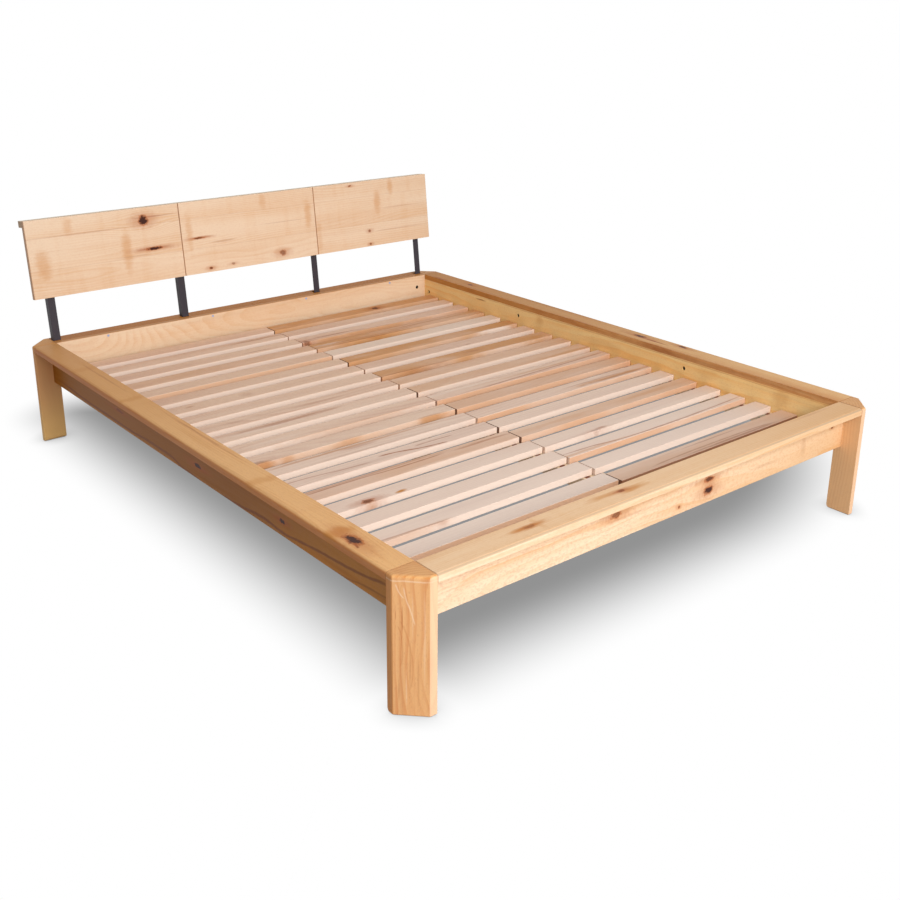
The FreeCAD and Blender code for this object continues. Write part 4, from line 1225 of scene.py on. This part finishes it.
class BED_OT_stage(bpy.types.Operator):
    """Lay the white floor with the bed's painted shadow, hang the studio lights and stand the camera"""

    bl_idname = "bed.stage"
    bl_label = "Stage"

    floor_reach = 30.0
    paper = (0.45, 0.45, 0.45, 1)
    touch_reach = 0.06
    touch_fade = 0.4
    shadow_corners = (0.234, 1.2)
    shadow_lean = (0.72, 0.315)
    sun_place = (0.0, -4.0, 1.456)
    sun_spread = math.radians(50)
    box_place = (-0.6, -3.5, 2.0)
    box_target = (0.0, 0.0, 0.3)
    box_size = 1.2

    def execute(self, context):
        stage = context.scene.bed_stage
        self.lay_floor(stage)
        self.light_room(stage)
        self.stand_camera(stage)
        context.scene.view_settings.view_transform = "Standard"
        return {"FINISHED"}

    def lay_floor(self, stage):
        """A pale floor that shows white to the camera, with the bed's shadow painted into its glow."""
        reach = self.floor_reach
        mesh = bpy.data.meshes.new("studio_floor")
        corners = [(-reach, -reach, 0), (reach, -reach, 0), (reach, reach, 0), (-reach, reach, 0)]
        mesh.from_pydata(corners, [], [(0, 1, 2, 3)])
        material = bpy.data.materials.new("studio_floor")
        sheet = blank_sheet(material)
        paper = sheet.node("ShaderNodeBsdfDiffuse")
        paper.inputs["Color"].default_value = self.paper
        touch = sheet.node("ShaderNodeAmbientOcclusion", samples=8)
        touch.inputs["Distance"].default_value = self.touch_reach
        glow = sheet.node("ShaderNodeEmission")
        # Painted shadow: the glow that the camera sees is dimmed by a drawn soft shadow and by contact shade from
        # ambient occlusion
        contact = sheet.math("POWER", touch.outputs["AO"], self.touch_fade)
        sheet.put(glow.inputs["Strength"], sheet.times(self.soft_shadow(sheet, stage), contact))
        blend = sheet.node("ShaderNodeMixShader")
        for socket, value in zip(blend.inputs, (seen_ray(sheet), paper.outputs[0], glow.outputs[0])):
            sheet.put(socket, value)
        output = sheet.node("ShaderNodeOutputMaterial")
        sheet.put(output.inputs["Surface"], blend.outputs[0])
        mesh.materials.append(material)
        set_out("studio_floor", mesh)

    def soft_shadow(self, sheet, stage):
        """The bed's painted soft shadow, which leans to the far corner, by how far a point lies from its outline.
        """
        low = Vector(CAD_BOX[0])
        high = Vector(CAD_BOX[1]) + Vector((*self.shadow_lean, 0))
        centre = ((low.x + high.x) / 2, (low.y + high.y) / 2, 0.0)
        offset = sheet.vector("SUBTRACT", sheet.source(), centre)
        apart = sheet.split(sheet.vector("ABSOLUTE", offset))
        left, right = self.shadow_corners
        rightward = sheet.math("GREATER_THAN", sheet.split(offset)[0], 0.0)
        corner = sheet.scaled(rightward, right - left, left)
        over_x = sheet.less(sheet.plus(apart[0], corner), (high.x - low.x) / 2)
        over_y = sheet.less(sheet.plus(apart[1], corner), (high.y - low.y) / 2)
        outside = sheet.vector("LENGTH", sheet.join(sheet.greater(over_x, 0.0),
                                                    sheet.greater(over_y, 0.0), 0.0))
        inside = sheet.smaller(sheet.greater(over_x, over_y), 0.0)
        away = sheet.less(sheet.plus(outside, inside), corner)
        return sheet.ease(away, -stage.shadow_inset, stage.shadow_fade, stage.shadow_depth, 1.0)

    def light_room(self, stage):
        """A low broad sun from the foot, a soft box in front of it and even pale walls."""
        sun = self.lamp("low_sun", "SUN", self.sun_place, (0.0, 0.0, 0.0))
        sun.energy = stage.sun_power
        sun.angle = self.sun_spread
        box = self.lamp("soft_box", "AREA", self.box_place, self.box_target)
        box.energy = stage.box_power
        box.size = self.box_size
        world = bpy.data.worlds.new("studio")
        bpy.context.scene.world = world
        sheet = blank_sheet(world)
        walls = sheet.node("ShaderNodeBackground")
        sheet.put(walls.inputs["Strength"], sheet.scaled(seen_ray(sheet), 1.0 - stage.fill, stage.fill))
        walls.inputs["Color"].default_value = (1, 1, 1, 1)
        output = sheet.node("ShaderNodeOutputWorld")
        sheet.put(output.inputs["Surface"], walls.outputs[0])

    def lamp(self, name, kind, place, target):
        """A lamp that stands at a place and points at a target, both from the bed's middle on the floor."""
        light = bpy.data.lights.new(name, kind)
        stand = set_out(name, light)
        stand.location = Vector(place) + MIDDLE
        stand.rotation_euler = (Vector(target) - Vector(place)).to_track_quat("-Z", "Y").to_euler()
        stand.visible_camera = False
        return light

    def stand_camera(self, stage):
        """The camera at the photograph's place, with its lens and lean."""
        yaw, pitch, roll = stage.camera_yaw, stage.camera_pitch, stage.camera_roll
        ahead = Vector((math.sin(yaw) * math.cos(pitch), math.cos(yaw) * math.cos(pitch), -math.sin(pitch)))
        level = Vector((math.cos(yaw), -math.sin(yaw), 0))
        above_it = level.cross(ahead)
        right = level * math.cos(roll) + above_it * math.sin(roll)
        up = above_it * math.cos(roll) - level * math.sin(roll)
        turn = Matrix((right, up, -ahead)).transposed()
        camera = bpy.data.cameras.new("camera")
        camera.lens = stage.lens
        camera.sensor_width = 36.0
        camera.shift_y = stage.rise
        stand = set_out("camera", camera)
        stand.matrix_world = Matrix.Translation(Vector(stage.camera_place) + MIDDLE) @ turn.to_4x4()
        bpy.context.scene.camera = stand


OPERATORS = (BED_OT_legs, BED_OT_side_rails, BED_OT_foot_rail, BED_OT_head_rail, BED_OT_headboard,
             BED_OT_slats, BED_OT_tapes, BED_OT_posts, BED_OT_under_frame, BED_OT_screws, BED_OT_fittings,
             BED_OT_stage)


class BED_PT_panel(bpy.types.Panel):
    """Lists the steps that dress the bed"""

    bl_idname = "BED_PT_panel"
    bl_label = "Bed"
    bl_space_type = "VIEW_3D"
    bl_region_type = "UI"
    bl_category = "Bed"

    def draw(self, context):
        for operator in OPERATORS:
            self.layout.operator(operator.bl_idname)
        for group_name in ("bed_timber", "bed_stage"):
            settings = getattr(context.scene, group_name)
            for name in settings.bl_rna.properties.keys():
                if name not in ("rna_type", "name"):
                    self.layout.prop(settings, name)


CLASSES = (BedStage, BedTimber, *OPERATORS, BED_PT_panel)


def register():
    """Add the classes and the settings."""
    for item in CLASSES:
        bpy.utils.register_class(item)
    bpy.types.Scene.bed_stage = bpy.props.PointerProperty(type=BedStage)
    bpy.types.Scene.bed_timber = bpy.props.PointerProperty(type=BedTimber)


def unregister():
    """Take the settings and the classes away."""
    del bpy.types.Scene.bed_timber
    del bpy.types.Scene.bed_stage
    for item in reversed(CLASSES):
        bpy.utils.unregister_class(item)


def main():
    """Dress the whole bed, piece by piece."""
    register()
    bpy.ops.bed.stage()
    bpy.ops.bed.legs()
    bpy.ops.bed.side_rails()
    bpy.ops.bed.foot_rail()
    bpy.ops.bed.head_rail()
    bpy.ops.bed.headboard()
    bpy.ops.bed.slats()
    bpy.ops.bed.tapes()
    bpy.ops.bed.posts()
    bpy.ops.bed.under_frame()
    bpy.ops.bed.screws()
    bpy.ops.bed.fittings()
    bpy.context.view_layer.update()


if __name__ == "__main__":
    main()
